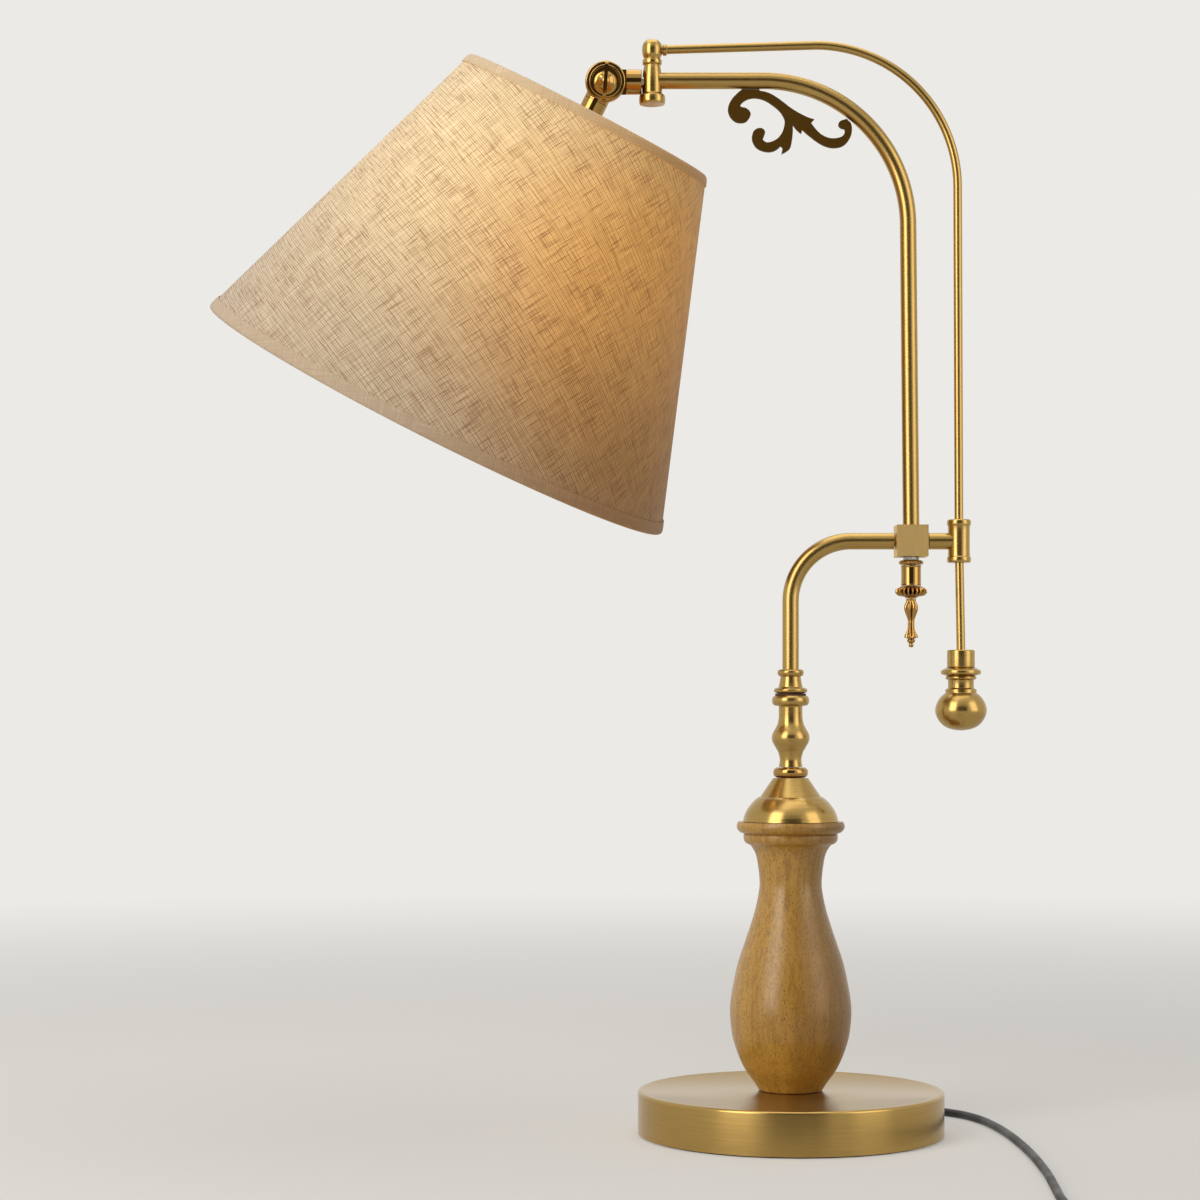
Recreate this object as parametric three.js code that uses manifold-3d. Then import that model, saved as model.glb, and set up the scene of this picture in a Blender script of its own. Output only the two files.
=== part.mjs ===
// A table lamp: weighted brass base, turned wooden body, swinging brass arm with a counterweight,
// and a linen shade on a tilting knuckle. Millimetres, +Z up. The origin is the centre of the underside,
// +X is the side that the arm leans to, and the shade hangs on the -X side.

import * as THREE from "three";
import { mergeVertices } from "three/addons/utils/BufferGeometryUtils.js";
import Module from "manifold-3d";

const wasm = await Module();
wasm.setup();

// Fits
const clearance = 0.3; // between two pieces that touch
const runningGap = 0.4; // round a journal that turns
const overrun = 2; // how far a cutter passes the face it leaves
const weldDistance = 0.0001; // vertices closer than this are one

// Base
const baseRadius = 92.5;
const baseHeight = 27;
const baseWall = 1.5;
const baseEdge = 1.5; // chamfer round the top edge
const baseLift = 1; // the cover's rim stands this far above the table
const padThickness = 2;
const weightInset = 12.5; // from the cover's outside to the weight's
const weightPocketRadius = 26;
const weightPocketHeight = 10;
const channelWidth = 7; // cable channel under the weight
const channelHeight = 9;
const washerRadius = 12;
const washerThickness = 1.5;
const nutRadius = 8.1;
const nutHeight = 4;
const nutSides = 6;

// Hollow threaded tube that clamps base, body and stem together
const rodRadius = 5;
const rodBore = 3.4;
const rodBelowNut = 1.2;

// Turned wooden body
const woodRadius = 36.7;
const woodHeight = 162.1;
const woodShares = [
  [0.523, 0], [0.602, 0.028], [0.744, 0.073], [0.842, 0.117], [0.916, 0.162], [0.967, 0.207],
  [1, 0.285], [0.984, 0.342], [0.932, 0.409], [0.866, 0.476], [0.768, 0.543], [0.668, 0.61],
  [0.578, 0.678], [0.52, 0.745], [0.512, 0.779], [0.537, 0.835], [0.578, 0.88], [0.66, 0.912],
  [0.735, 0.921], [0.77, 0.932], [0.776, 0.951], [0.762, 0.956], [0.835, 0.962], [0.878, 0.973],
  [0.891, 0.986], [0.868, 1],
];

// Spun dome on top of the body
const domeRadius = 28.9;
const domeHeight = 26.2;
const domeShares = [
  [1, 0], [0.98, 0.1], [0.927, 0.25], [0.83, 0.4], [0.744, 0.5], [0.671, 0.56], [0.64, 0.565], [0.37, 1],
];
const domeHollowShares = [[0.955, 0], [0.9, 0.2], [0.76, 0.42], [0.6, 0.54], [0.42, 0.78], [0.3, 0.93]];

// Bead and baluster of the stem
const beadRadius = 10.6;
const beadHeight = 6.2;
const beadShares = [[0.82, 0], [0.96, 0.2], [1, 0.5], [0.96, 0.8], [0.82, 1]];
const balusterRadius = 11.5;
const balusterHeight = 43;
const balusterShares = [
  [0.626, 0], [0.574, 0.095], [0.65, 0.2], [0.765, 0.258], [0.89, 0.316], [0.968, 0.36], [1, 0.405],
  [0.978, 0.45], [0.905, 0.497], [0.8, 0.545], [0.705, 0.597], [0.65, 0.655], [0.626, 0.72],
  [0.626, 0.855], [0.87, 0.868], [0.97, 0.905], [0.97, 0.965], [0.88, 1],
];
const rodEntryShare = 0.63; // how far up the baluster the threaded tube reaches
const screwHeightShare = 0.94; // where the set screw goes into the baluster's ring
const screwRadius = 1.5;

// Swivel between stem and arm
const spindleRadius = 4.4;
const spindleBore = 2.8;
const spindleGrooveDepth = 0.7;
const spindleGrooveHeight = 3.8;
const swivelWasherRadius = 8;
const swivelWasherThickness = 0.9;
const collarRadius = 10.3;
const collarHeight = 14.5;
const collarShares = [
  [0.777, 0], [0.95, 0.04], [1, 0.12], [0.95, 0.2], [0.72, 0.25], [0.65, 0.45], [0.592, 0.7],
  [0.7, 0.74], [0.775, 0.84], [0.76, 0.94], [0.66, 1],
];
const collarWebShare = 0.3; // the tube stands on the spindle at this share of the collar's height

// Arm tubes
const tubeRadius = 5;
const tubeBore = 4;
const lowerTubeRise = 77.7; // from the swivel collar's top to the centre line of the level stretch
const lowerBendRadius = 36.5;
const cubeSize = 19;
const cubeX = 73; // centre of the cross block
const neckRadius = 3.2; // threaded nipples on both sides of the block
const neckGap = 1; // bare neck between tube and block
const neckBore = 2.2;
const neckInside = 5; // how far the nipple reaches into tube and block
const tubeSeat = 6; // how deep the upper tube sits in the block
const upperTubeRise = 279; // from the lower level stretch to the upper one
const upperBendRadius = 88;
const upperTubeLean = 1.8; // the upper tube leans a little to the stem on its way up
const postX = -83.9;
const tubeEndReach = 4; // from the post's axis to the upper tube's end
const sleeveReach = 29; // from the block's centre to the guide sleeve's
const sleeveRadius = 7.15;
const sleeveHeight = 26;
const sleeveShares = [
  [0.93, 0], [1, 0.03], [1, 0.12], [0.93, 0.15], [0.93, 0.85], [1, 0.88], [1, 0.97], [0.93, 1],
];

// Head post, a T fitting at the end of the arm
const postRadius = 7.9;
const postHeight = 39.4;
const postBelowTube = 14.3; // from the upper tube's centre line down to the post's foot
const postShares = [
  [0.95, 0], [1, 0.03], [1, 0.11], [0.95, 0.135], [0.772, 0.163], [0.772, 0.3], [0.747, 0.41],
  [0.658, 0.562], [0.62, 0.595], [0.747, 0.615], [0.747, 0.675], [0.608, 0.7], [0.72, 0.75],
  [0.772, 0.81], [0.772, 0.87], [0.68, 0.935], [0.42, 0.985], [0, 1],
];

// Counter rod and weight
const counterRodRadius = 2.65;
const ferruleRadius = 3.5;
const ferruleLength = 2.6;
const ferruleReach = 6.3; // from the post's axis to the ferrule
const counterRodAbove = 18.6; // its end in the post's ball, above the upper tube's centre line
const counterRodRise = 2.9; // from there to the start of its bend
const counterBendRadius = 86;
const counterRodLean = 0.8; // its long stretch ends so far to the right of where the bend ends
const weightLean = 1.2; // the weight hangs so far to the right of the guide sleeve
const weightDrop = 65.9; // from the lower level stretch down to the top of the weight's collar
const weightCollarRadius = 8.4;
const weightCollarHeight = 10.3;
const counterweightRadius = 15.6;
const counterweightHeight = 38.2;
const counterweightShares = [
  [0.35, 0.018], [0.65, 0.07], [0.88, 0.17], [1, 0.305], [0.93, 0.44], [0.78, 0.535], [0.6, 0.6],
  [0.61, 0.65], [0.5, 0.675], [0.5, 0.8], [0.6, 0.82], [0.6, 0.85], [0.53, 0.865], [0.776, 0.895],
  [0.776, 0.95], [0.55, 1],
];
const rodEndShare = 0.7; // the rod's end, as a share of the counterweight's height

// Finial under the block
const finialStemRadius = 2.6;
const finialSpigot = 6;
const finialNippleRadius = 4.9;
const finialNippleHeight = 1.5;
const finialRingRadius = 7.7;
const finialRingHeight = 2.8;
const finialBarrelRadius = 6.2;
const finialBarrelHeight = 12.4;
const finialCrownRadius = 9.8;
const finialCrownHeight = 7.2;
const finialCrownShares = [[0.33, 0], [0.42, 0.12], [0.82, 0.25], [1, 0.5], [0.94, 0.75], [0.62, 1]];
const finialDropRadius = 4.2;
const finialDropHeight = 29.5;
const finialDropShares = [
  [0.4, 0.02], [0.5, 0.08], [0.3, 0.14], [0.75, 0.19], [0.95, 0.265], [0.75, 0.34], [0.52, 0.42],
  [0.52, 0.6], [0.7, 0.66], [1, 0.78], [0.98, 0.86], [0.71, 0.95], [0.71, 1],
];
const finialStudRadius = 1.6;
const finialStudLength = 4;

// Scroll ornament, cut from plate, in shares of its width, x to the right and y down from its top left
const ornamentWidth = 75.1;
const ornamentThickness = 2;
const ornamentReach = 21.2; // from the centre of the upper tube's bend to the plate's left end
const ornamentStretchShares = [
  [[0.114, 0]],
  [
    [0.079, 0.029], [0.037, 0.072], [0.01, 0.118], [0, 0.157], [0.006, 0.199], [0.029, 0.238],
    [0.064, 0.265], [0.103, 0.272], [0.141, 0.265], [0.168, 0.238], [0.184, 0.199], [0.168, 0.168],
    [0.141, 0.15], [0.11, 0.144],
  ],
  [[0.097, 0.132]],
  [
    [0.118, 0.106], [0.157, 0.082], [0.203, 0.072], [0.253, 0.076], [0.307, 0.095], [0.361, 0.13],
    [0.407, 0.168], [0.438, 0.207], [0.458, 0.257], [0.446, 0.326], [0.427, 0.365], [0.4, 0.396],
    [0.369, 0.415], [0.334, 0.427], [0.307, 0.427], [0.28, 0.407],
  ],
  [
    [0.298, 0.357], [0.299, 0.342], [0.288, 0.323], [0.265, 0.312], [0.234, 0.317], [0.207, 0.338],
    [0.195, 0.373], [0.194, 0.404], [0.203, 0.434], [0.226, 0.469], [0.261, 0.492], [0.307, 0.505],
    [0.353, 0.504], [0.392, 0.488], [0.424, 0.459],
  ],
  [[0.44, 0.475], [0.438, 0.492], [0.431, 0.523]],
  [[0.469, 0.504], [0.5, 0.477], [0.514, 0.427], [0.523, 0.342], [0.523, 0.288]],
  [[0.546, 0.319], [0.569, 0.342], [0.591, 0.359]],
  [[0.599, 0.326]],
  [
    [0.631, 0.357], [0.67, 0.388], [0.716, 0.423], [0.77, 0.454], [0.824, 0.471], [0.863, 0.473],
    [0.909, 0.465], [0.948, 0.442], [0.978, 0.404], [0.995, 0.365], [1, 0.311], [0.99, 0.272],
    [0.971, 0.253],
  ],
  [[0.959, 0.239]],
  [
    [0.936, 0.245], [0.905, 0.257], [0.89, 0.282], [0.897, 0.303], [0.915, 0.317], [0.932, 0.32],
    [0.942, 0.33], [0.94, 0.353], [0.924, 0.377], [0.894, 0.39], [0.847, 0.396], [0.801, 0.388],
    [0.755, 0.365], [0.716, 0.33], [0.67, 0.272],
  ],
  [[0.697, 0.242]],
  [
    [0.654, 0.23], [0.608, 0.209], [0.554, 0.18], [0.5, 0.145], [0.446, 0.103], [0.392, 0.064],
    [0.338, 0.033], [0.292, 0.018], [0.257, 0.012],
  ],
  [[0.253, 0]],
];

// Knuckle: two half discs clamped by a wing screw. Its axis runs front to back
const kneeReach = 28.3; // from the post's axis
const kneeDrop = 0.8; // below the upper tube's centre line
const headRoll = 9.8; // degrees: the head is turned so far about the stub
const headTilt = 26.9; // degrees: the shade leans so far from the vertical
const kneeRadius = 12.2;
const kneeHalf = 7.5; // thickness of one half
const kneeStubRadius = 7.5;
const rollJournalRadius = 3.6;
const rollJournalBore = 2.2;
const rollJournalInStub = 5;
const wingShankRadius = 2.5;
const wingShankReach = 6.6; // into the rear half
const wingCupRadius = 9.8;
const wingCupDepth = 3.2;
const wingBossRadius = 5.2;
const wingBossDepth = 3.6;
const wingSpan = 23.6;
const wingDepth = 9;
const wingThickness = 2.4;

// Lampholder
const neckLength = 14.6; // from the knuckle disc to the lampholder's cap
const spigotRadius = 4.8;
const spigotLength = 6;
const capRadius = 20.2;
const capHeight = 21;
const capWall = 1;
const capShares = [[1, 0], [1, 0.55], [0.93, 0.74], [0.78, 0.88], [0.5, 0.97], [0.42, 1]];
const holderHeight = 34;
const holderSink = 10.5; // from the cap's top down to the lampholder's
const holderBore = 3.4;
const holderShoulderRadius = 22.5;
const holderShoulderHeight = 2.6;
const holderSkirtRadius = 19.3;
const holderCavityRadius = 16.4;
const holderCeiling = 8;
const shellRadius = 15.9;
const shellWall = 0.7;
const shellHeight = 23;
const contactRadius = 4;
const contactHeight = 3.6;
const bulbCapRadius = 13.1;
const bulbCapHeight = 22;
const bulbTipRadius = 5;
const bulbTipHeight = 2;
const bulbRadius = 28;
const bulbHeight = 68;
const bulbWall = 1.5;
const bulbShares = [
  [0.09, 0.004], [0.42, 0.04], [0.74, 0.14], [0.93, 0.26], [1, 0.41], [0.93, 0.57], [0.76, 0.7],
  [0.6, 0.81], [0.5, 0.91], [0.464, 1],
];

// Shade
const shadeDrop = 22.2; // from the knuckle's axis to the shade's top edge
const shadeHeight = 206.1;
const shadeTopRadius = 80.9;
const shadeBottomRadius = 155.7;
const shadeThickness = 1;
const tapeThickness = 0.5;
const topTapeWidth = 6;
const bottomTapeWidth = 7.5;
const wireRadius = 1.6;
const wireDepth = 3; // from the shade's edge to the wire's centre
const hubRadius = 26;
const hubThickness = 1.5;
const spokeRadius = 1.5;
const spokeCount = 3;
const spokeTurn = 90; // degrees: direction of the first spoke
const shadeRingRadius = 24;
const shadeRingHeight = 6;

// Cord, all on the table: along the hidden back of the base, past its right side and to the front
const cordRadius = 2.5;
const cordLift = 0.1;
const tableCord = cordRadius + cordLift;
const glandHeight = 8; // centre of the outlet in the base's wall
const glandRadius = 5.5;
const glandFlange = 1.5;
const glandThroatRadius = 4;
const glandSleeveRadius = 4.3;
const glandTipRadius = 3.1;
const glandLength = 22;
const switchLength = 60;
const switchWidth = 24;
const switchHalfHeight = 7.2;
const switchX = 68;
const rockerLength = 15;
const rockerWidth = 9.6;
const rockerHeight = 7;
const rockerAxisHeight = 11.6;
const rockerTurn = 7; // degrees: the pressed end is down by this much
const rockerPinRadius = 1.2;
const rockerPinReach = 6.2;
const windowMargin = 1.2; // round the rocker
const coilX = -10;
const coilFrontY = -370; // where cord, switch, coil and plug meet the front line
const coilOuterRadius = 35.5;
const coilPitch = 5.6;
const coilLayerRise = 5.6;
const coilTurnsPerLayer = 2.75;
const coilClimbTurns = 0.5;
const coilSteps = 24; // per turn
const coilSides = 6;
const sameRun = 15; // points nearer than this along the cord belong to one run
const plugEntryX = -38;
const plugSleeveLength = 20;
const plugSleeveRadius = 4.6;
const plugSleeveTipRadius = 3.3;
const plugAxisHeight = 7;
const plugThickness = 13.4;
const plugWidth = 35.3;
const plugNeckWidth = 13;
const plugTaperLength = 11;
const plugBodyLength = 33;
const pinRadius = 2;
const pinLength = 19;
const pinSpacing = 18.6;
const pinTipLength = 1.2;
const pinTipShare = 0.6;

const leadPoints = [
  [0, 116.8, 8], [0.1, 121.5, 7.6], [3.5, 133.1, 5.2], [13, 142.6, 3.2], [26.1, 146.1, 2.6],
  [36.7, 143.8, 2.6], [46, 137, 2.6], [62, 120.2, 2.6], [82, 99, 2.6], [103.4, 74.3, 2.6],
  [114.1, 60, 2.6], [123.2, 32.9, 2.6], [129.2, -14.7, 2.6], [131.5, -81.8, 2.6],
  [129.9, -151, 2.6], [126.4, -202.4, 2.6], [124, -236, 2.6], [124.6, -270, 2.6], [128, -305, 2.6],
  [131, -327, 2.6], [131, -344, 2.6], [126.5, -358, 3.3], [117, -367.4, 5], [106.5, -370, 7],
  [98.6, -370, 7.3],
];
const tailPoints = [[37.4, -370, 7.3], [29, -370, 6.6], [16, -370, 3.6], [6, -370, 2.6], [-4.4, -370, 2.6]];
const endPoints = [[-15.4, -370, 8.2], [-22, -370, 8], [-31, -370, 7.2], [-37.7, -370, 6.9]];

// Sides of the round pieces
const baseSides = 32;
const shadeSides = 32;
const bodySides = 20;
const turnedSides = 14;
const smallSides = 12;
const tubeSides = 8;
const cordSides = 8;
const wireSides = 4;

// Steps along the bent pieces and round the corners of the housings
const lowerTubeSteps = 14;
const upperTubeSteps = 28;
const counterRodSteps = 36;
const leadSteps = 46;
const tailSteps = 5;
const endSteps = 3;
const cornerSteps = 4;

// Colours, roughness and metalness of the finishes
const finish = (colour, roughness, metalness = 0) =>
  new THREE.MeshStandardMaterial({ color: colour, roughness, metalness });
const satinBrass = finish(0xb99a4c, 0.34, 1);
const brushedBrass = finish(0xb99b5b, 0.42, 1);
const polishedBrass = finish(0xa5792c, 0.16, 1);
const dullBrass = finish(0x6d4e16, 0.55, 1);
const zinc = finish(0xb9b9b4, 0.3, 1);
const castIron = finish(0x3b3b3c, 0.75, 0.8);
const oiledWood = finish(0xc08c4c, 0.42);
const feltCloth = finish(0x2a2724, 0.95);
const linen = finish(0xd9bf95, 0.9);
const tapeCloth = finish(0xcbb594, 0.9);
const whiteEnamel = finish(0xe6e2d8, 0.45);
const phenolic = finish(0x1c1a18, 0.35);
const fibre = finish(0x4b2a1c, 0.7);
const opalGlass = finish(0xffe6b0, 0.2);
const darkPlastic = finish(0x17150f, 0.45);
const redPlastic = finish(0xb8301c, 0.35);
const nickel = finish(0xc9c9c6, 0.2, 1);

// A geometry as a manifold-3d solid, with shared vertices merged and faces of no area left out.
function solidOf(geometry) {
  const plain = geometry.clone();
  plain.deleteAttribute("normal");
  plain.deleteAttribute("uv");
  const merged = mergeVertices(plain, weldDistance);
  const index = merged.index.array;
  const corners = [];
  for (let i = 0; i < index.length; i += 3) {
    const [a, b, c] = index.slice(i, i + 3);
    if (a !== b && b !== c && c !== a) corners.push(a, b, c);
  }
  return new wasm.Manifold(
    new wasm.Mesh({
      numProp: 3,
      vertProperties: merged.attributes.position.array,
      triVerts: new Uint32Array(corners),
    }),
  );
}

function geometryOf(solid) {
  const mesh = solid.getMesh();
  const geometry = new THREE.BufferGeometry();
  geometry.setAttribute("position", new THREE.BufferAttribute(mesh.vertProperties, 3));
  geometry.setIndex(new THREE.BufferAttribute(mesh.triVerts, 1));
  geometry.computeVertexNormals();
  return geometry;
}

const cut = (geometry, ...cutters) =>
  geometryOf(cutters.reduce((left, cutter) => left.subtract(solidOf(cutter)), solidOf(geometry)));
const join = (geometry, ...others) =>
  geometryOf(others.reduce((whole, other) => whole.add(solidOf(other)), solidOf(geometry)));

// A lathe about Z from a closed or axis-to-axis profile of [radius, height], outer side from bottom to top.
function lathe(profile, sides) {
  const points = profile.map(([radius, height]) => new THREE.Vector2(radius, height));
  return geometryOf(solidOf(new THREE.LatheGeometry(points, sides).rotateX(Math.PI / 2)));
}

// A turned piece that stands on z = 0, from its outline in shares of its radius and height.
function turned(shares, radius, height, sides, bore = 0) {
  const outline = shares.map(([r, h]) => [r * radius, h * height]);
  const ends = [[bore, 0], [bore, height]];
  return lathe([ends[0], ...outline, ends[1], ...(bore > 0 ? [ends[0]] : [])], sides);
}

const cylinderShares = [[1, 0], [1, 1]];
const cylinder = (radius, height, sides, bore = 0) => turned(cylinderShares, radius, height, sides, bore);

// The bore that leaves a gap round a piece of this radius, also at the flats of its facets.
const boreFor = (radius, sides, gap = clearance) => (radius + gap) / Math.cos(Math.PI / sides);

// The same piece, lying along X or Y in place of Z.
const alongX = (geometry) => geometry.rotateY(Math.PI / 2);
const alongY = (geometry) => geometry.rotateX(-Math.PI / 2);
const block = (x, y, z) => new THREE.BoxGeometry(x, y, z);
// A flat plate of this outline, with so many steps to each of the outline's curves.
const prism = (outline, depth, curveSegments) =>
  new THREE.ExtrudeGeometry(outline, { depth, bevelEnabled: false, curveSegments });

// A section for a tube: a regular polygon, with a hole of the same form where a bore is given.
function roundSection(radius, sides, bore = 0) {
  const ring = (r) =>
    Array.from({ length: sides }, (_, i) => {
      const turn = ((i + 0.5) / sides) * 2 * Math.PI;
      return new THREE.Vector2(r * Math.cos(turn), r * Math.sin(turn));
    });
  const section = new THREE.Shape(ring(radius));
  if (bore > 0) section.holes.push(new THREE.Path(ring(bore)));
  return section;
}

const sweep = (curve, section, steps) =>
  geometryOf(solidOf(new THREE.ExtrudeGeometry(section, { steps, extrudePath: curve, bevelEnabled: false })));

// An arc in the arm's plane, from one turn to another about its centre.
class Bend extends THREE.Curve {
  constructor(x, z, radius, from, to) {
    super();
    Object.assign(this, { x, z, radius, from, to });
  }

  getPoint(t, target = new THREE.Vector3()) {
    const turn = this.from + (this.to - this.from) * t;
    return target.set(this.x + this.radius * Math.cos(turn), 0, this.z + this.radius * Math.sin(turn));
  }
}

// A curve of straight stretches and arcs: points are [x, z], and an arc is given as a curve.
function route(...stretches) {
  const path = new THREE.CurvePath();
  let last = null;
  for (const stretch of stretches) {
    if (stretch instanceof THREE.Curve) {
      path.add(stretch);
      last = stretch.getPoint(1);
      continue;
    }
    const next = new THREE.Vector3(stretch[0], 0, stretch[1]);
    if (last) path.add(new THREE.LineCurve3(last, next));
    last = next;
  }
  return path;
}

function piece(parent, name, geometry, material, x = 0, y = 0, z = 0) {
  const mesh = new THREE.Mesh(geometry, material.clone());
  mesh.name = name;
  mesh.position.set(x, y, z);
  parent.add(mesh);
  return mesh;
}

// The weight's radius, and heights of the stack from the table up
const weightRadius = baseRadius - weightInset;
const weightBottom = padThickness + clearance;
const weightTopZ = baseHeight - baseWall - clearance;
const pocketTop = weightBottom + weightPocketHeight;
const woodBottom = baseHeight + clearance;
const domeBottom = woodBottom + woodHeight + clearance;
const beadBottom = domeBottom + domeHeight + clearance;
const balusterBottom = beadBottom + beadHeight + clearance;
const balusterTop = balusterBottom + balusterHeight;
const swivelWasherBottom = balusterTop + clearance;
const collarBottom = swivelWasherBottom + swivelWasherThickness + clearance;
const collarTop = collarBottom + collarHeight;
const collarWeb = collarBottom + collarWebShare * collarHeight;
const threadTop = balusterBottom + rodEntryShare * balusterHeight;
const screwZ = balusterBottom + screwHeightShare * balusterHeight;
const lowerTubeHeight = collarTop + lowerTubeRise;
const upperTubeHeight = lowerTubeHeight + upperTubeRise;
const postBottom = upperTubeHeight - postBelowTube;
const counterRodStart = upperTubeHeight + counterRodAbove;
const counterRodHeight = counterRodStart + counterRodRise;
const weightTop = lowerTubeHeight - weightDrop;
const kneeZ = upperTubeHeight - kneeDrop;
const washerBottom = pocketTop - clearance - washerThickness;
const nutBottom = washerBottom - clearance - nutHeight;

// Places along the arm
const upperTubeX = cubeX - upperTubeLean;
const sleeveX = cubeX + sleeveReach;
const counterRodX = sleeveX - counterRodLean;
const weightX = sleeveX + weightLean;
const kneeX = postX - kneeReach;

function buildBase(lamp) {
  const inner = baseRadius - baseWall;
  const hole = boreFor(rodRadius, baseSides);
  const cover = lathe(
    [
      [baseRadius, baseLift], [baseRadius, baseHeight - baseEdge], [baseRadius - baseEdge, baseHeight],
      [hole, baseHeight], [hole, baseHeight - baseWall], [inner, baseHeight - baseWall],
      [inner, baseLift], [baseRadius, baseLift],
    ],
    baseSides,
  );
  const outlet = alongY(cylinder(boreFor(glandThroatRadius, smallSides), baseRadius, smallSides));
  outlet.translate(0, weightRadius, glandHeight);
  piece(lamp, "base_cover", cut(cover, outlet), satinBrass);

  const weightHeight = weightTopZ - weightBottom;
  const pocket = cylinder(weightPocketRadius, weightPocketHeight + overrun, bodySides);
  const channel = block(channelWidth, baseRadius, channelHeight + overrun);
  channel.translate(0, baseRadius / 2, (channelHeight - overrun) / 2);
  const weight = cylinder(weightRadius, weightHeight, baseSides, boreFor(rodRadius, baseSides));
  pocket.translate(0, 0, -overrun);
  piece(lamp, "base_weight", cut(weight, pocket, channel), castIron, 0, 0, weightBottom);

  const padRadius = (baseRadius - baseWall - clearance) * Math.cos(Math.PI / baseSides) - clearance;
  piece(lamp, "base_pad", cylinder(padRadius, padThickness, baseSides), feltCloth);
  const threadHole = boreFor(rodRadius, smallSides);
  const washer = cylinder(washerRadius, washerThickness, smallSides, threadHole);
  piece(lamp, "base_washer", washer, zinc, 0, 0, washerBottom);
  const nut = cylinder(nutRadius, nutHeight, nutSides, boreFor(rodRadius, nutSides));
  piece(lamp, "base_nut", nut, zinc, 0, 0, nutBottom);
}

function buildStem(lamp) {
  const threadBottom = nutBottom - rodBelowNut;
  const thread = cylinder(rodRadius, threadTop - threadBottom, smallSides, rodBore);
  piece(lamp, "threaded_tube", thread, zinc, 0, 0, threadBottom);
  const threadHole = boreFor(rodRadius, smallSides);
  const wood = turned(woodShares, woodRadius, woodHeight, bodySides, boreFor(rodRadius, bodySides));
  piece(lamp, "wood_body", wood, oiledWood, 0, 0, woodBottom);

  const domeHole = threadHole / domeRadius;
  const domeHollow = [...domeHollowShares].reverse();
  const domeOutline = [
    ...domeShares, [domeHole, 1], [domeHole, domeHollow[0][1]], ...domeHollow, domeShares[0],
  ];
  const dome = lathe(domeOutline.map(([r, h]) => [r * domeRadius, h * domeHeight]), bodySides);
  piece(lamp, "dome_cap", dome, satinBrass, 0, 0, domeBottom);
  const bead = turned(beadShares, beadRadius, beadHeight, turnedSides, threadHole);
  piece(lamp, "stem_bead", bead, polishedBrass, 0, 0, beadBottom);

  const journal = boreFor(spindleRadius, turnedSides, runningGap);
  const balusterBlank = turned(balusterShares, balusterRadius, balusterHeight, turnedSides, journal);
  const threadSocket = cylinder(threadHole, threadTop + clearance - balusterBottom + overrun, turnedSides);
  threadSocket.translate(0, 0, -overrun);
  const screwHole = alongY(cylinder(boreFor(screwRadius, smallSides), balusterRadius + overrun, smallSides));
  screwHole.translate(0, 0, screwZ - balusterBottom);
  const baluster = cut(balusterBlank, threadSocket, screwHole);
  piece(lamp, "baluster", baluster, satinBrass, 0, 0, balusterBottom);

  const screwTip = spindleRadius - spindleGrooveDepth + runningGap;
  const ringRadius = balusterShares.at(-2)[0] * balusterRadius;
  const screwEnd = ringRadius * Math.cos(Math.PI / turnedSides);
  const screw = alongY(cylinder(screwRadius, screwEnd - screwTip, smallSides));
  piece(lamp, "swivel_screw", screw, zinc, 0, screwTip, screwZ);
  const washer = cylinder(swivelWasherRadius, swivelWasherThickness, turnedSides, journal);
  piece(lamp, "swivel_washer", washer, fibre, 0, 0, swivelWasherBottom);
}

function buildSwivel(arm) {
  const bottom = threadTop + 2 * clearance;
  const top = collarWeb - clearance;
  const groove = spindleRadius - spindleGrooveDepth;
  const low = screwZ - spindleGrooveHeight / 2 - bottom;
  const spindle = lathe(
    [
      [spindleBore, 0], [spindleRadius, 0], [spindleRadius, low], [groove, low],
      [groove, low + spindleGrooveHeight], [spindleRadius, low + spindleGrooveHeight],
      [spindleRadius, top - bottom], [spindleBore, top - bottom], [spindleBore, 0],
    ],
    smallSides,
  );
  piece(arm, "swivel_spindle", spindle, zinc, 0, 0, bottom);

  const spindleHole = boreFor(spindleRadius, turnedSides);
  const blank = turned(collarShares, collarRadius, collarHeight, turnedSides, spindleHole);
  const tubeHole = cylinder(boreFor(tubeRadius, turnedSides), collarHeight, turnedSides);
  tubeHole.translate(0, 0, collarWeb - collarBottom);
  piece(arm, "swivel_collar", cut(blank, tubeHole), satinBrass, 0, 0, collarBottom);
}

const cubeLeft = cubeX - cubeSize / 2;
const cubeRight = cubeX + cubeSize / 2;
const cubeTop = lowerTubeHeight + cubeSize / 2;
const cubeBottom = lowerTubeHeight - cubeSize / 2;
const hollowTube = (curve, steps) => sweep(curve, roundSection(tubeRadius, tubeSides, tubeBore), steps);

// Where the upper tube's bend starts and ends, about its centre.
const upperBendX = upperTubeX - upperBendRadius;
const upperBendZ = upperTubeHeight - upperBendRadius;

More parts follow.
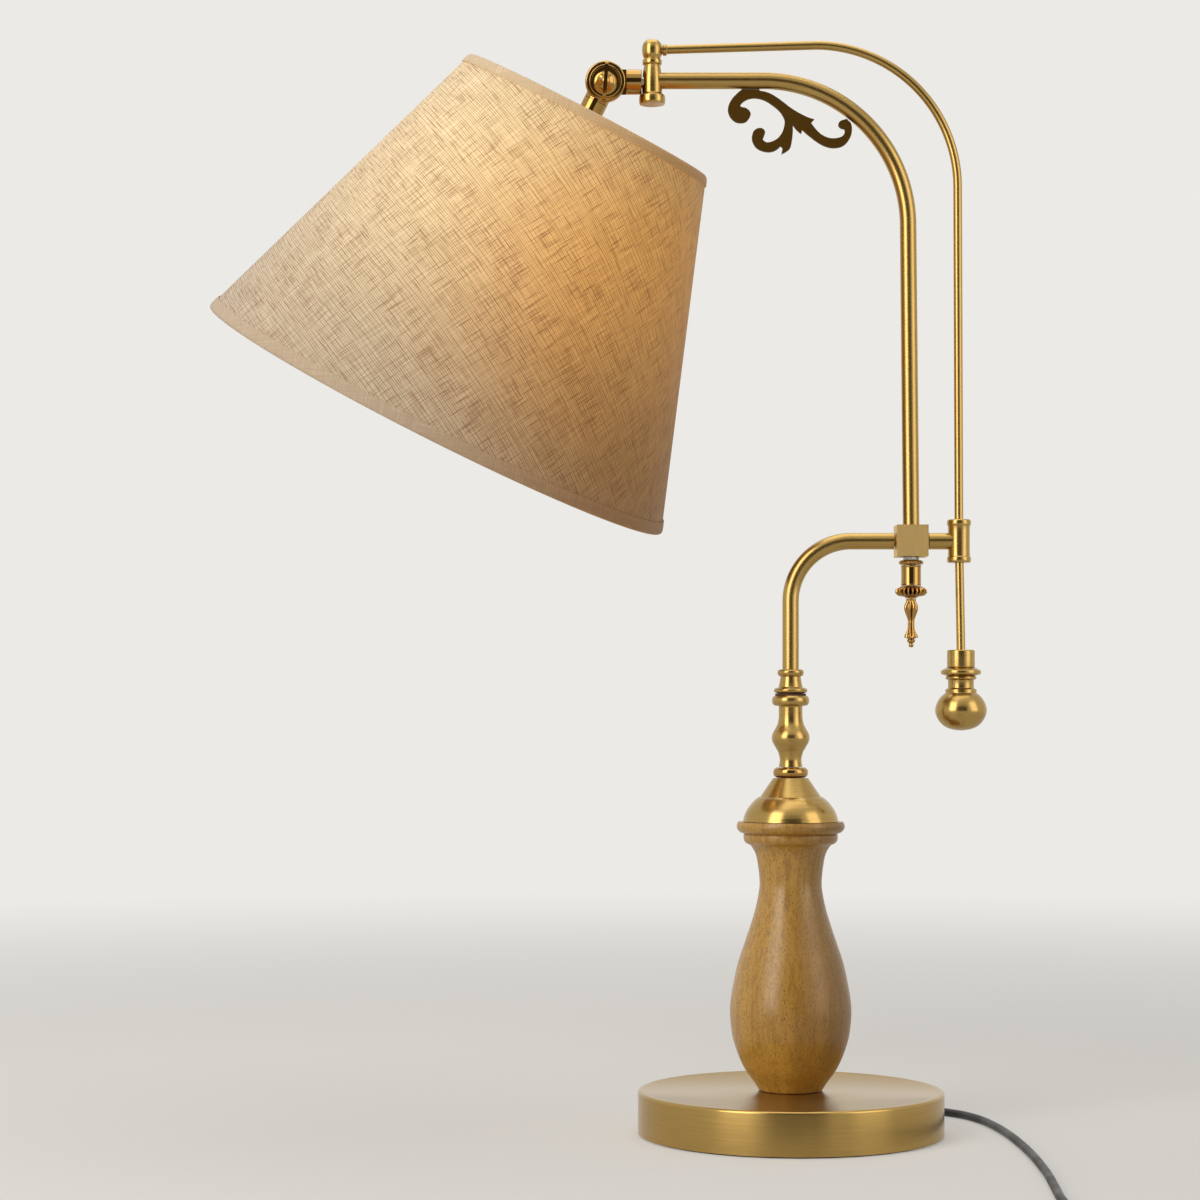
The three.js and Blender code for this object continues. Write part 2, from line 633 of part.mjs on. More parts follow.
function buildTubes(arm) {
  const tubeFoot = collarWeb + clearance;
  const bendZ = lowerTubeHeight - lowerBendRadius;
  const lowerBend = new Bend(lowerBendRadius, bendZ, lowerBendRadius, Math.PI, Math.PI / 2);
  const lower = route([0, tubeFoot], [0, bendZ], lowerBend, [cubeLeft - neckGap, lowerTubeHeight]);
  piece(arm, "lower_tube", hollowTube(lower, lowerTubeSteps), satinBrass);

  const neck = () => alongX(cylinder(neckRadius, neckGap + 2 * neckInside, smallSides, neckBore));
  piece(arm, "lower_nipple", neck(), satinBrass, cubeLeft - neckGap - neckInside, 0, lowerTubeHeight);
  piece(arm, "stub_nipple", neck(), satinBrass, cubeRight - neckInside, 0, lowerTubeHeight);

  const sideHole = alongX(cylinder(boreFor(neckRadius, smallSides), cubeSize + 2 * overrun, smallSides));
  sideHole.translate(-cubeSize / 2 - overrun, 0, 0);
  const seatHole = cylinder(boreFor(tubeRadius, turnedSides) + clearance, cubeSize, turnedSides);
  seatHole.translate(0, 0, cubeSize / 2 - tubeSeat);
  const wireHole = cylinder(tubeBore, cubeSize / 2, smallSides);
  const finialHole = cylinder(boreFor(finialStemRadius, smallSides), cubeSize, smallSides);
  finialHole.translate(0, 0, -cubeSize);
  const cube = cut(block(cubeSize, cubeSize, cubeSize), sideHole, seatHole, wireHole, finialHole);
  piece(arm, "cube_block", cube, brushedBrass, cubeX, 0, lowerTubeHeight);

  const stubStart = cubeRight + neckGap;
  const stub = alongX(cylinder(tubeRadius, sleeveX - stubStart, turnedSides));
  const saddle = cylinder(sleeveRadius + clearance, sleeveHeight, turnedSides);
  saddle.translate(sleeveX - stubStart, 0, -sleeveHeight / 2);
  const socketDepth = neckInside + clearance + overrun;
  const stubSocket = alongX(cylinder(boreFor(neckRadius, smallSides), socketDepth, smallSides));
  stubSocket.translate(-overrun, 0, 0);
  piece(arm, "sleeve_stub", cut(stub, saddle, stubSocket), satinBrass, stubStart, 0, lowerTubeHeight);
  const sleeveBore = boreFor(counterRodRadius, turnedSides, runningGap);
  const sleeve = turned(sleeveShares, sleeveRadius, sleeveHeight, turnedSides, sleeveBore);
  piece(arm, "guide_sleeve", sleeve, satinBrass, sleeveX, 0, lowerTubeHeight - sleeveHeight / 2);

  const upperBend = new Bend(upperBendX, upperBendZ, upperBendRadius, 0, Math.PI / 2);
  const upper = route(
    [cubeX, cubeTop - tubeSeat + clearance], [cubeX, cubeTop], [upperTubeX, upperBendZ], upperBend,
    [postX + tubeEndReach, upperTubeHeight],
  );
  piece(arm, "upper_tube", hollowTube(upper, upperTubeSteps), satinBrass);
}

function buildHeadPost(arm) {
  const blank = turned(postShares, postRadius, postHeight, turnedSides);
  const tubeHole = alongX(cylinder(boreFor(tubeRadius, tubeSides), 2 * postRadius, tubeSides));
  tubeHole.translate(tubeEndReach - clearance, 0, upperTubeHeight - postBottom);
  const rodHole = alongX(cylinder(boreFor(counterRodRadius, smallSides), 2 * postRadius, smallSides));
  rodHole.translate(-clearance, 0, counterRodStart - postBottom);
  const journalRadius = boreFor(rollJournalRadius, smallSides, runningGap);
  const journal = alongX(cylinder(journalRadius, 2 * postRadius, smallSides));
  journal.translate(-2 * postRadius + tubeEndReach, 0, kneeZ - postBottom);
  piece(arm, "head_post", cut(blank, tubeHole, rodHole, journal), satinBrass, postX, 0, postBottom);
}

function buildCounterweight(arm) {
  const bottom = weightTop - weightCollarHeight - clearance - counterweightHeight;
  const rodEnd = bottom + rodEndShare * counterweightHeight;
  const bendX = counterRodX - counterBendRadius;
  const bendZ = counterRodHeight - counterBendRadius;
  const bend = new Bend(bendX, bendZ, counterBendRadius, Math.PI / 2, 0);
  const line = route(
    [postX, counterRodStart], [bendX, counterRodHeight], bend, [sleeveX, lowerTubeHeight],
    [weightX, weightTop], [weightX, rodEnd],
  );
  const rod = sweep(line, roundSection(counterRodRadius, cordSides), counterRodSteps);
  const ferrule = alongX(cylinder(ferruleRadius, ferruleLength, smallSides));
  ferrule.translate(postX + ferruleReach, 0, counterRodStart);
  piece(arm, "counter_rod", join(rod, ferrule), satinBrass);

  const hole = boreFor(counterRodRadius, turnedSides);
  const collar = cylinder(weightCollarRadius, weightCollarHeight, turnedSides, hole);
  piece(arm, "weight_collar", collar, satinBrass, weightX, 0, weightTop - weightCollarHeight);
  const blank = turned(counterweightShares, counterweightRadius, counterweightHeight, turnedSides);
  const socket = cylinder(hole, counterweightHeight, turnedSides);
  socket.translate(0, 0, rodEnd - clearance - bottom);
  piece(arm, "counterweight", cut(blank, socket), satinBrass, weightX, 0, bottom);
}

function buildOrnament(arm) {
  const at = ([x, y]) => new THREE.Vector2(x * ornamentWidth, -y * ornamentWidth);
  const outline = new THREE.Shape();
  outline.moveTo(at(ornamentStretchShares[0][0]).x, 0);
  for (const stretch of ornamentStretchShares.slice(1)) {
    const points = stretch.map(at);
    if (points.length > 1) outline.splineThru(points);
    else outline.lineTo(points[0].x, points[0].y);
  }
  const plate = prism(outline, ornamentThickness, 1);
  plate.translate(0, 0, -ornamentThickness / 2).rotateX(Math.PI / 2);
  const top = upperTubeHeight - tubeRadius - clearance;
  piece(arm, "scroll_ornament", geometryOf(solidOf(plate)), dullBrass, upperBendX - ornamentReach, 0, top);
}

function buildFinial(arm) {
  const hole = boreFor(finialStemRadius, smallSides);
  const nippleZ = cubeBottom - clearance - finialNippleHeight;
  const ringZ = nippleZ - clearance - finialRingHeight;
  const barrelZ = ringZ - clearance - finialBarrelHeight;
  const crownZ = barrelZ - clearance - finialCrownHeight;
  const dropZ = crownZ - clearance - finialDropHeight;
  const stemBottom = barrelZ + finialStudLength;
  const stemTop = nippleZ + finialNippleHeight + finialSpigot;
  const stem = cylinder(finialStemRadius, stemTop - stemBottom, smallSides);
  stem.translate(0, 0, stemBottom - nippleZ);
  const nipple = join(cylinder(finialNippleRadius, finialNippleHeight, smallSides), stem);
  piece(arm, "finial_nipple", nipple, zinc, cubeX, 0, nippleZ);
  const ring = cylinder(finialRingRadius, finialRingHeight, smallSides, hole);
  piece(arm, "finial_ring", ring, polishedBrass, cubeX, 0, ringZ);
  const barrel = cylinder(finialBarrelRadius, finialBarrelHeight, smallSides, hole);
  piece(arm, "finial_barrel", barrel, polishedBrass, cubeX, 0, barrelZ);
  const studHole = boreFor(finialStudRadius, smallSides);
  const crown = turned(finialCrownShares, finialCrownRadius, finialCrownHeight, turnedSides, studHole);
  piece(arm, "finial_crown", crown, polishedBrass, cubeX, 0, crownZ);
  const stud = cylinder(finialStudRadius, finialCrownHeight + finialStudLength, smallSides);
  stud.translate(0, 0, finialDropHeight - overrun);
  const drop = join(turned(finialDropShares, finialDropRadius, finialDropHeight, smallSides), stud);
  piece(arm, "finial_drop", drop, polishedBrass, cubeX, 0, dropZ);
}

// One half of the knuckle: a half disc with a round arm that grows out of it in the +X direction.
// Side -1 is the front half, side 1 the rear half.
function kneeHalfPiece(side, armLength) {
  const gap = clearance / 2;
  const disc = alongY(cylinder(kneeRadius, kneeHalf, bodySides));
  disc.translate(0, side > 0 ? gap : -gap - kneeHalf, 0);
  const shank = alongX(cylinder(kneeStubRadius, kneeRadius + clearance + armLength, turnedSides));
  const halfSpace = block(2 * kneeRadius + 2 * clearance, 4 * kneeRadius, 4 * kneeRadius);
  halfSpace.translate(0, -side * (2 * kneeRadius - gap), 0);
  const screwHoleRadius = boreFor(wingShankRadius, smallSides, runningGap);
  const screwHole = alongY(cylinder(screwHoleRadius, 4 * kneeRadius, smallSides));
  screwHole.translate(0, -2 * kneeRadius, 0);
  return cut(join(disc, cut(shank, halfSpace)), screwHole);
}

function buildKnuckle(roll) {
  const postFace = postX - postShares[4][0] * postRadius - kneeX;
  const stubLength = postFace - clearance - kneeRadius - clearance;
  const stub = kneeHalfPiece(1, stubLength);
  const stubEnd = kneeRadius + clearance + stubLength;
  const holeRadius = boreFor(rollJournalRadius, smallSides);
  const hole = alongX(cylinder(holeRadius, rollJournalInStub + overrun, smallSides));
  hole.translate(stubEnd - rollJournalInStub, 0, 0);
  piece(roll, "knuckle_stub", cut(stub, hole), polishedBrass);
  const journalStart = stubEnd - rollJournalInStub + clearance;
  const journalEnd = postX - kneeX + tubeEndReach - 2 * clearance;
  const journal = alongX(cylinder(rollJournalRadius, journalEnd - journalStart, smallSides, rollJournalBore));
  piece(roll, "roll_journal", journal, zinc, journalStart);
}

function buildWingScrew(roll) {
  const face = -clearance / 2 - kneeHalf - clearance;
  const cup = alongY(cylinder(wingCupRadius, wingCupDepth, turnedSides));
  cup.translate(0, face - wingCupDepth, 0);
  const boss = alongY(cylinder(wingBossRadius, wingCupDepth + wingBossDepth, smallSides));
  boss.translate(0, face - wingCupDepth - wingBossDepth, 0);
  const blade = block(wingThickness, wingDepth, wingSpan);
  blade.translate(0, face - wingCupDepth - wingDepth / 2 + wingThickness / 2, 0);
  const shank = alongY(cylinder(wingShankRadius, wingShankReach - face, smallSides));
  shank.translate(0, face, 0);
  piece(roll, "wing_screw", join(cup, boss, blade, shank), polishedBrass);
}

// Heights in the head are measured down the shade's axis from the knuckle.
const capTop = -(kneeRadius + clearance + neckLength + clearance);
const holderTop = capTop - holderSink;

function buildLampholder(head) {
  const neck = kneeHalfPiece(-1, neckLength).rotateY(Math.PI / 2);
  const spigot = cylinder(spigotRadius, spigotLength + overrun, smallSides);
  spigot.translate(0, 0, capTop + clearance - spigotLength);
  piece(head, "knuckle_neck", join(neck, spigot), polishedBrass);

  const outer = turned(capShares, capRadius, capHeight, bodySides);
  const inner = turned(capShares, capRadius - capWall, capHeight, bodySides).translate(0, 0, -capWall);
  const spigotHole = cylinder(boreFor(spigotRadius, smallSides), 2 * capHeight, smallSides);
  piece(head, "socket_cap", cut(outer, inner, spigotHole), polishedBrass, 0, 0, capTop - capHeight);

  const bodyRadius = (capRadius - capWall - clearance) * Math.cos(Math.PI / bodySides) - clearance;
  const capRim = capTop - capHeight - clearance - holderTop;
  const shoulder = capRim - holderShoulderHeight;
  const cavityTop = -holderCeiling;
  const holder = lathe(
    [
      [holderCavityRadius, -holderHeight], [holderSkirtRadius, -holderHeight], [holderSkirtRadius, shoulder],
      [holderShoulderRadius, shoulder], [holderShoulderRadius, capRim], [bodyRadius, capRim],
      [bodyRadius, 0], [holderBore, 0], [holderBore, cavityTop], [holderCavityRadius, cavityTop],
      [holderCavityRadius, -holderHeight],
    ],
    bodySides,
  );
  piece(head, "socket_body", holder, phenolic, 0, 0, holderTop);

  const shellTop = holderTop + cavityTop - clearance;
  const shell = lathe(
    [
      [shellRadius - shellWall, -shellHeight], [shellRadius, -shellHeight], [shellRadius, 0],
      [bulbTipRadius + 2 * shellWall, 0], [bulbTipRadius + 2 * shellWall, -shellWall],
      [shellRadius - shellWall, -shellWall], [shellRadius - shellWall, -shellHeight],
    ],
    turnedSides,
  );
  piece(head, "socket_shell", shell, satinBrass, 0, 0, shellTop);
  const contact = cylinder(contactRadius, contactHeight, smallSides);
  piece(head, "socket_contact", contact, satinBrass, 0, 0, shellTop - contactHeight);

  const tipTop = shellTop - contactHeight - clearance;
  const capBottom = tipTop - bulbTipHeight - bulbCapHeight;
  const tip = cylinder(bulbTipRadius, bulbTipHeight + overrun, smallSides);
  tip.translate(0, 0, bulbCapHeight - overrun);
  const bulbCap = join(cylinder(bulbCapRadius, bulbCapHeight, turnedSides), tip);
  piece(head, "bulb_cap", bulbCap, nickel, 0, 0, capBottom);
  const bulb = turned(bulbShares, bulbRadius, bulbHeight, turnedSides);
  const hollow = turned(bulbShares, bulbRadius - bulbWall, bulbHeight, turnedSides);
  hollow.translate(0, 0, bulbWall);
  piece(head, "bulb_glass", cut(bulb, hollow), opalGlass, 0, 0, capBottom - clearance - bulbHeight);
  return holderTop + shoulder;
}

const shadeSlope = (shadeBottomRadius - shadeTopRadius) / shadeHeight;
const shadeLean = Math.hypot(1, shadeSlope); // a thickness square to the cloth, measured level
// The radius of the outer tape's face at a depth below the top edge.
const shadeRadiusAt = (depth) => shadeTopRadius + shadeSlope * depth;
const clothOuterAt = (depth) => shadeRadiusAt(depth) - (tapeThickness + clearance) * shadeLean;
const clothInnerAt = (depth) => clothOuterAt(depth) - shadeThickness * shadeLean;
const wireRingRadiusAt = (depth) => clothInnerAt(depth) - (wireRadius + clearance) * shadeLean;

// The tape folded over an edge of the shade: an outer band and a lip that covers the cloth's edge.
function tapeGeometry(edgeDepth, width, inward) {
  const end = edgeDepth + inward * width;
  const lip = edgeDepth + inward * tapeThickness;
  const ring = [
    [shadeRadiusAt(edgeDepth), -edgeDepth], [shadeRadiusAt(end), -end],
    [shadeRadiusAt(end) - tapeThickness * shadeLean, -end],
    [shadeRadiusAt(lip) - tapeThickness * shadeLean, -lip],
    [clothInnerAt(lip), -lip], [clothInnerAt(edgeDepth), -edgeDepth],
  ];
  const rising = inward > 0 ? ring.reverse() : ring;
  return lathe([...rising, rising[0]], shadeSides);
}

function wireRing(depth) {
  const centre = wireRingRadiusAt(depth);
  const section = Array.from({ length: wireSides + 1 }, (_, i) => {
    const turn = (i / wireSides) * 2 * Math.PI;
    return [centre + wireRadius * Math.cos(turn), wireRadius * Math.sin(turn) - depth];
  });
  return lathe(section, shadeSides);
}

function buildShade(head, hubTop) {
  const shade = new THREE.Group();
  shade.position.z = -shadeDrop;
  head.add(shade);
  const edge = tapeThickness + clearance;
  const bottom = shadeHeight - edge;
  const cloth = lathe(
    [
      [clothOuterAt(bottom), -bottom], [clothOuterAt(edge), -edge], [clothInnerAt(edge), -edge],
      [clothInnerAt(bottom), -bottom], [clothOuterAt(bottom), -bottom],
    ],
    shadeSides,
  );
  piece(shade, "shade_fabric", cloth, linen);
  piece(shade, "top_tape", tapeGeometry(0, topTapeWidth, 1), tapeCloth);
  piece(shade, "bottom_tape", tapeGeometry(shadeHeight, bottomTapeWidth, -1), tapeCloth);
  piece(shade, "top_wire", wireRing(wireDepth), whiteEnamel);
  piece(shade, "bottom_wire", wireRing(shadeHeight - wireDepth), whiteEnamel);

  const hubZ = hubTop - clearance - hubThickness;
  const hubBore = boreFor(holderSkirtRadius, bodySides);
  const hub = cylinder(hubRadius, hubThickness, bodySides, hubBore);
  const from = new THREE.Vector3(hubRadius - spokeRadius / 2, 0, hubThickness / 2);
  const wireInner = (wireRingRadiusAt(wireDepth) - wireRadius) * Math.cos(Math.PI / shadeSides);
  const to = new THREE.Vector3(wireInner - clearance, 0, -shadeDrop - wireDepth - hubZ);
  const spokes = Array.from({ length: spokeCount }, (_, i) => {
    const turn = THREE.MathUtils.degToRad(spokeTurn) + (i / spokeCount) * 2 * Math.PI;
    const ends = [from, to].map((end) => end.clone().applyAxisAngle(new THREE.Vector3(0, 0, 1), turn));
    return sweep(new THREE.LineCurve3(...ends), roundSection(spokeRadius, wireSides), 1);
  });
  piece(head, "shade_spider", join(hub, ...spokes), whiteEnamel, 0, 0, hubZ);
  const ring = cylinder(shadeRingRadius, shadeRingHeight, bodySides, hubBore);
  piece(head, "shade_ring", ring, phenolic, 0, 0, hubZ - clearance - shadeRingHeight);
}

const cordCurve = (points) =>
  new THREE.CatmullRomCurve3(points.map(([x, y, z]) => new THREE.Vector3(x, y, z)), false, "centripetal");

// The coil's centre line: in along the lower layer, up during half a turn, and out along the upper layer.
function coilLine() {
  const spiral = coilTurnsPerLayer * 2 * Math.PI;
  const climb = coilClimbTurns * 2 * Math.PI;
  const rate = coilPitch / (2 * Math.PI);
  const innerRadius = coilOuterRadius - coilPitch * coilTurnsPerLayer;
  const centreY = coilFrontY + coilOuterRadius;
  const turns = 2 * coilTurnsPerLayer + coilClimbTurns;
  const count = Math.round(turns * coilSteps);
  const at = (turn) => {
    const into = Math.min(Math.max(turn - spiral, 0), climb);
    const radius = turn < spiral
      ? coilOuterRadius - rate * turn
      : turn > spiral + climb
        ? innerRadius + rate * (turn - spiral - climb)
        : innerRadius - (rate * into * (climb - into)) / climb;
    const share = into / climb;
    const lift = share * share * (3 - 2 * share) * coilLayerRise;
    const direction = -Math.PI / 2 - turn;
    return new THREE.Vector3(
      coilX + radius * Math.cos(direction),
      centreY + radius * Math.sin(direction),
      tableCord + lift,
    );
  };
  return Array.from({ length: count + 1 }, (_, i) => at((i / count) * turns * 2 * Math.PI));
}

// One unbroken tube through the points of a line: rings of vertices joined by faces, with flat ends.
function tubeThrough(line, radius, sides) {
  const up = new THREE.Vector3(0, 0, 1);
  const positions = [];
  const faces = [];
  line.forEach((point, i) => {
    const ahead = line[Math.min(i + 1, line.length - 1)];
    const behind = line[Math.max(i - 1, 0)];
    const along = new THREE.Vector3().subVectors(ahead, behind).normalize();
    const side = new THREE.Vector3().crossVectors(along, up).normalize();
    const rise = new THREE.Vector3().crossVectors(side, along);
    for (let j = 0; j < sides; j += 1) {
      const turn = (j / sides) * 2 * Math.PI;
      const place = point.clone().addScaledVector(side, radius * Math.cos(turn));
      positions.push(...place.addScaledVector(rise, radius * Math.sin(turn)).toArray());
    }
  });
  const last = (line.length - 1) * sides;
  for (let j = 0; j < sides; j += 1) {
    const next = (j + 1) % sides;
    for (let start = 0; start < last; start += sides) {
      const [here, after, above] = [start + j, start + next, start + sides + j];
      faces.push(here, above, after, after, above, start + sides + next);
    }
    if (j > 0 && j < sides - 1) faces.push(0, j, next, last, last + next, last + j);
  }
  const geometry = new THREE.BufferGeometry();
  geometry.setAttribute("position", new THREE.BufferAttribute(new Float32Array(positions), 3));
  geometry.setIndex(faces);
  return geometry;
}

// The least gap between two stretches of the line that are not one and the same run.
function leastGap(line, radius) {
  const lengths = [0];
  for (let i = 1; i < line.length; i += 1) lengths.push(lengths[i - 1] + line[i].distanceTo(line[i - 1]));
  let least = Infinity;
  for (let i = 0; i < line.length; i += 1) {
    for (let j = i + 1; j < line.length; j += 1) {
      if (lengths[j] - lengths[i] < sameRun) continue;
      least = Math.min(least, line[i].distanceTo(line[j]) - 2 * radius);
    }
  }
  return { least, length: lengths.at(-1) };
}

function buildCoil(lamp) {
  const line = coilLine();
  const straight = new THREE.Vector3(2 * cordRadius, 0, 0);
  const whole = [line[0].clone().add(straight), ...line, line.at(-1).clone().sub(straight)];
  piece(lamp, "cord_coil", tubeThrough(whole, cordRadius, coilSides), darkPlastic);
  const curve = new THREE.CatmullRomCurve3(whole, false, "centripetal");
  const fine = curve.getPoints(4 * whole.length);
  const { least, length } = leastGap(fine, cordRadius);
  const rest = [leadPoints, tailPoints, endPoints].map((points) => cordCurve(points).getLength());
  console.log(`coil: least gap to itself ${least.toFixed(2)} mm, length ${length.toFixed(0)} mm`);
  const all = rest.reduce((sum, part) => sum + part, length) + switchLength;
  console.log(`cord: ${all.toFixed(0)} mm in all`);
}

function buildCords(lamp) {
  const cord = (name, points, steps) => {
    const curve = cordCurve(points);
    piece(lamp, name, sweep(curve, roundSection(cordRadius, cordSides), steps), darkPlastic);
  };
  cord("cord_lead", leadPoints, leadSteps);
  cord("cord_tail", tailPoints, tailSteps);
  cord("cord_end", endPoints, endSteps);
}

function buildGland(lamp) {
  const wall = baseRadius + clearance;
  const inside = -baseWall - 3 * clearance - glandFlange;
  const gland = lathe(
    [
      [0, inside], [glandRadius, inside], [glandRadius, inside + glandFlange],
      [glandThroatRadius, inside + glandFlange], [glandThroatRadius, 0], [glandRadius, 0],
      [glandRadius, glandFlange], [glandSleeveRadius, glandFlange],
      [glandTipRadius, glandFlange + glandLength], [0, glandFlange + glandLength],
    ],
    smallSides,
  );
  piece(lamp, "cord_gland", alongY(gland), darkPlastic, 0, wall, glandHeight);
}

// A flat housing with a rounded outline, lying along X.
function housing(length, width, height, end) {
  const outline = new THREE.Shape();
  const [x, y] = [length / 2, width / 2];
  outline.moveTo(-x + end, -y);
  outline.lineTo(x - end, -y);
  outline.quadraticCurveTo(x, -y, x, 0);
  outline.quadraticCurveTo(x, y, x - end, y);
  outline.lineTo(-x + end, y);
  outline.quadraticCurveTo(-x, y, -x, 0);
  outline.quadraticCurveTo(-x, -y, -x + end, -y);
  return prism(outline, height, cornerSteps);
}

function buildSwitch(lamp) {
  const end = switchWidth / 2;
  const half = () => housing(switchLength, switchWidth, switchHalfHeight, end);
  piece(lamp, "switch_base", geometryOf(solidOf(half())), darkPlastic, switchX, coilFrontY, cordLift);
  const coverZ = cordLift + switchHalfHeight + clearance;
  const window = block(rockerLength + 2 * windowMargin, rockerWidth + windowMargin, 4 * switchHalfHeight);
  const pinHoleReach = rockerPinReach + clearance;
  const pinHoleRadius = boreFor(rockerPinRadius, smallSides, runningGap);
  const pinHole = alongY(cylinder(pinHoleRadius, 2 * pinHoleReach, smallSides));
  pinHole.translate(0, -pinHoleReach, rockerAxisHeight - coverZ);
  piece(lamp, "switch_cover", cut(half(), window, pinHole), darkPlastic, switchX, coilFrontY, coverZ);

  const rise = Math.tan(THREE.MathUtils.degToRad(rockerTurn)) * (rockerLength / 2);
  const [x, foot] = [rockerLength / 2, rockerLength / 4];
  const top = coverZ + switchHalfHeight - rockerAxisHeight + rise;
  const side = new THREE.Shape();
  side.moveTo(-foot, top - rockerHeight);
  side.lineTo(foot, top - rockerHeight);
  side.lineTo(x, top - rockerHeight / 2);
  side.lineTo(x, top + rise / 2);
  side.lineTo(0, top - rise / 2);
  side.lineTo(-x, top + rise / 2);
  side.lineTo(-x, top - rockerHeight / 2);
  const body = prism(side, rockerWidth, 1);
  body.translate(0, 0, -rockerWidth / 2).rotateX(Math.PI / 2);
  const pin = alongY(cylinder(rockerPinRadius, 2 * rockerPinReach, smallSides));
  pin.translate(0, -rockerPinReach, 0);
  const whole = join(body, pin);
  const rocker = piece(lamp, "switch_rocker", whole, redPlastic, switchX, coilFrontY, rockerAxisHeight);
  rocker.rotation.y = THREE.MathUtils.degToRad(rockerTurn);
}

function buildPlug(lamp) {
  const outline = new THREE.Shape();
  const [neck, wide, corner] = [plugNeckWidth / 2, plugWidth / 2, plugWidth / 8];
  outline.moveTo(0, -neck);
  outline.quadraticCurveTo(-plugTaperLength / 2, -neck, -plugTaperLength, -wide);
  outline.lineTo(-plugBodyLength + corner, -wide);
  outline.lineTo(-plugBodyLength, -wide + corner);
  outline.lineTo(-plugBodyLength, wide - corner);
  outline.lineTo(-plugBodyLength + corner, wide);
  outline.lineTo(-plugTaperLength, wide);
  outline.quadraticCurveTo(-plugTaperLength / 2, neck, 0, neck);
  const body = prism(outline, plugThickness, cornerSteps).translate(0, 0, -plugThickness / 2);
  const sleeve = lathe(
    [
      [0, -overrun], [plugSleeveRadius, -overrun], [plugSleeveRadius, 0],
      [plugSleeveTipRadius, plugSleeveLength], [0, plugSleeveLength],
    ],
    smallSides,
  );
  const faceX = plugEntryX - plugSleeveLength - plugBodyLength;
  const pinHoles = [-1, 1].map((sign) =>
    alongX(cylinder(boreFor(pinRadius, smallSides), pinLength, smallSides))
      .translate(-plugBodyLength - overrun, (sign * pinSpacing) / 2, 0));
  const plug = cut(join(body, alongX(sleeve)), ...pinHoles);
  const plugZ = cordLift + plugThickness / 2;
  piece(lamp, "plug_body", plug, darkPlastic, faceX + plugBodyLength, coilFrontY, plugZ);
  const seat = pinLength - overrun - clearance;
  const pinShares = [[pinTipShare, 0], [1, pinTipLength / (pinLength + seat)], [1, 1]];
  for (const [name, sign] of [["plug_pin_rear", 1], ["plug_pin_front", -1]]) {
    const pin = alongX(turned(pinShares, pinRadius, pinLength + seat, smallSides));
    piece(lamp, name, pin, nickel, faceX - pinLength, coilFrontY + (sign * pinSpacing) / 2, plugZ);
  }
}

function buildLamp() {
  const lamp = new THREE.Group();
  buildBase(lamp);
  buildStem(lamp);
  buildGland(lamp);
  buildCords(lamp);
  buildCoil(lamp);
  buildSwitch(lamp);
  buildPlug(lamp);

  const arm = new THREE.Group();
  lamp.add(arm);
  buildSwivel(arm);
  buildTubes(arm);
  buildHeadPost(arm);
  buildCounterweight(arm);
  buildOrnament(arm);
  buildFinial(arm);

  const roll = new THREE.Group();
  roll.position.set(kneeX, 0, kneeZ);
  roll.rotation.x = THREE.MathUtils.degToRad(headRoll);
  arm.add(roll);
  buildKnuckle(roll);
  buildWingScrew(roll);

  const head = new THREE.Group();
  head.rotation.y = THREE.MathUtils.degToRad(headTilt);
  roll.add(head);
  const hubTop = buildLampholder(head);
  buildShade(head, hubTop);
  return lamp;
}

export default buildLamp();
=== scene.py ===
"""A table lamp in Blender: weighted brass base, turned wooden body, swinging brass arm with a
counterweight, and a linen shade on a tilting knuckle, lit by its bulb.

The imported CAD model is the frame. Sizes here are in millimetres, in the frame's own axes, and become
metres where a mesh is made.
"""

import logging
import math
from collections.abc import Callable, Iterable, Sequence
from dataclasses import dataclass
from enum import Enum
from itertools import pairwise
from typing import Any, ClassVar, Protocol

import bmesh
import bpy
from bpy.types import Material, NodeSocket, Object
from mathutils import Matrix, Vector


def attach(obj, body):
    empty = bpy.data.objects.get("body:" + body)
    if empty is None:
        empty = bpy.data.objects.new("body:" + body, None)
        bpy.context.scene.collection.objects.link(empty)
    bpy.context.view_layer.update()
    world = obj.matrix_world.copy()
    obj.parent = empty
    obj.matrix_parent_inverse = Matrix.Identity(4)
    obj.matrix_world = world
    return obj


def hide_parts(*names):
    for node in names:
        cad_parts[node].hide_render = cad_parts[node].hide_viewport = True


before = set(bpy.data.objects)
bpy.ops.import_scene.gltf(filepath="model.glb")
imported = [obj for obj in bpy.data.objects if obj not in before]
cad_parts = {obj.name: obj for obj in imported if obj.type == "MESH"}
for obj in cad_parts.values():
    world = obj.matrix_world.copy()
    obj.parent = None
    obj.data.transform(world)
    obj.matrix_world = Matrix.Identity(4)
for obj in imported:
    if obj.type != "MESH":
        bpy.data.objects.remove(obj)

log = logging.getLogger("lamp")

MM = 0.001
SHARP = 35  # degrees of turning from which an edge is shaded as a sharp one
ROUNDED = 30  # degrees of turning from which a plate's edge is rounded
SAME = 0.002  # millimetres within which two corners are one
BLACK = (0.0, 0.0, 0.0, 1.0)

Point = tuple[float, float]
Place = tuple[float, float, float]
Colour = tuple[int, int, int]
Wave = Callable[[float, float], float]


class Body(Enum):
    """The rigid bodies that the pieces ride on."""

    BASE = "base"
    ROCKER = "rocker"
    ARM = "arm"
    KNUCKLE = "knuckle"
    WING = "wing"
    HEAD = "shade_head"


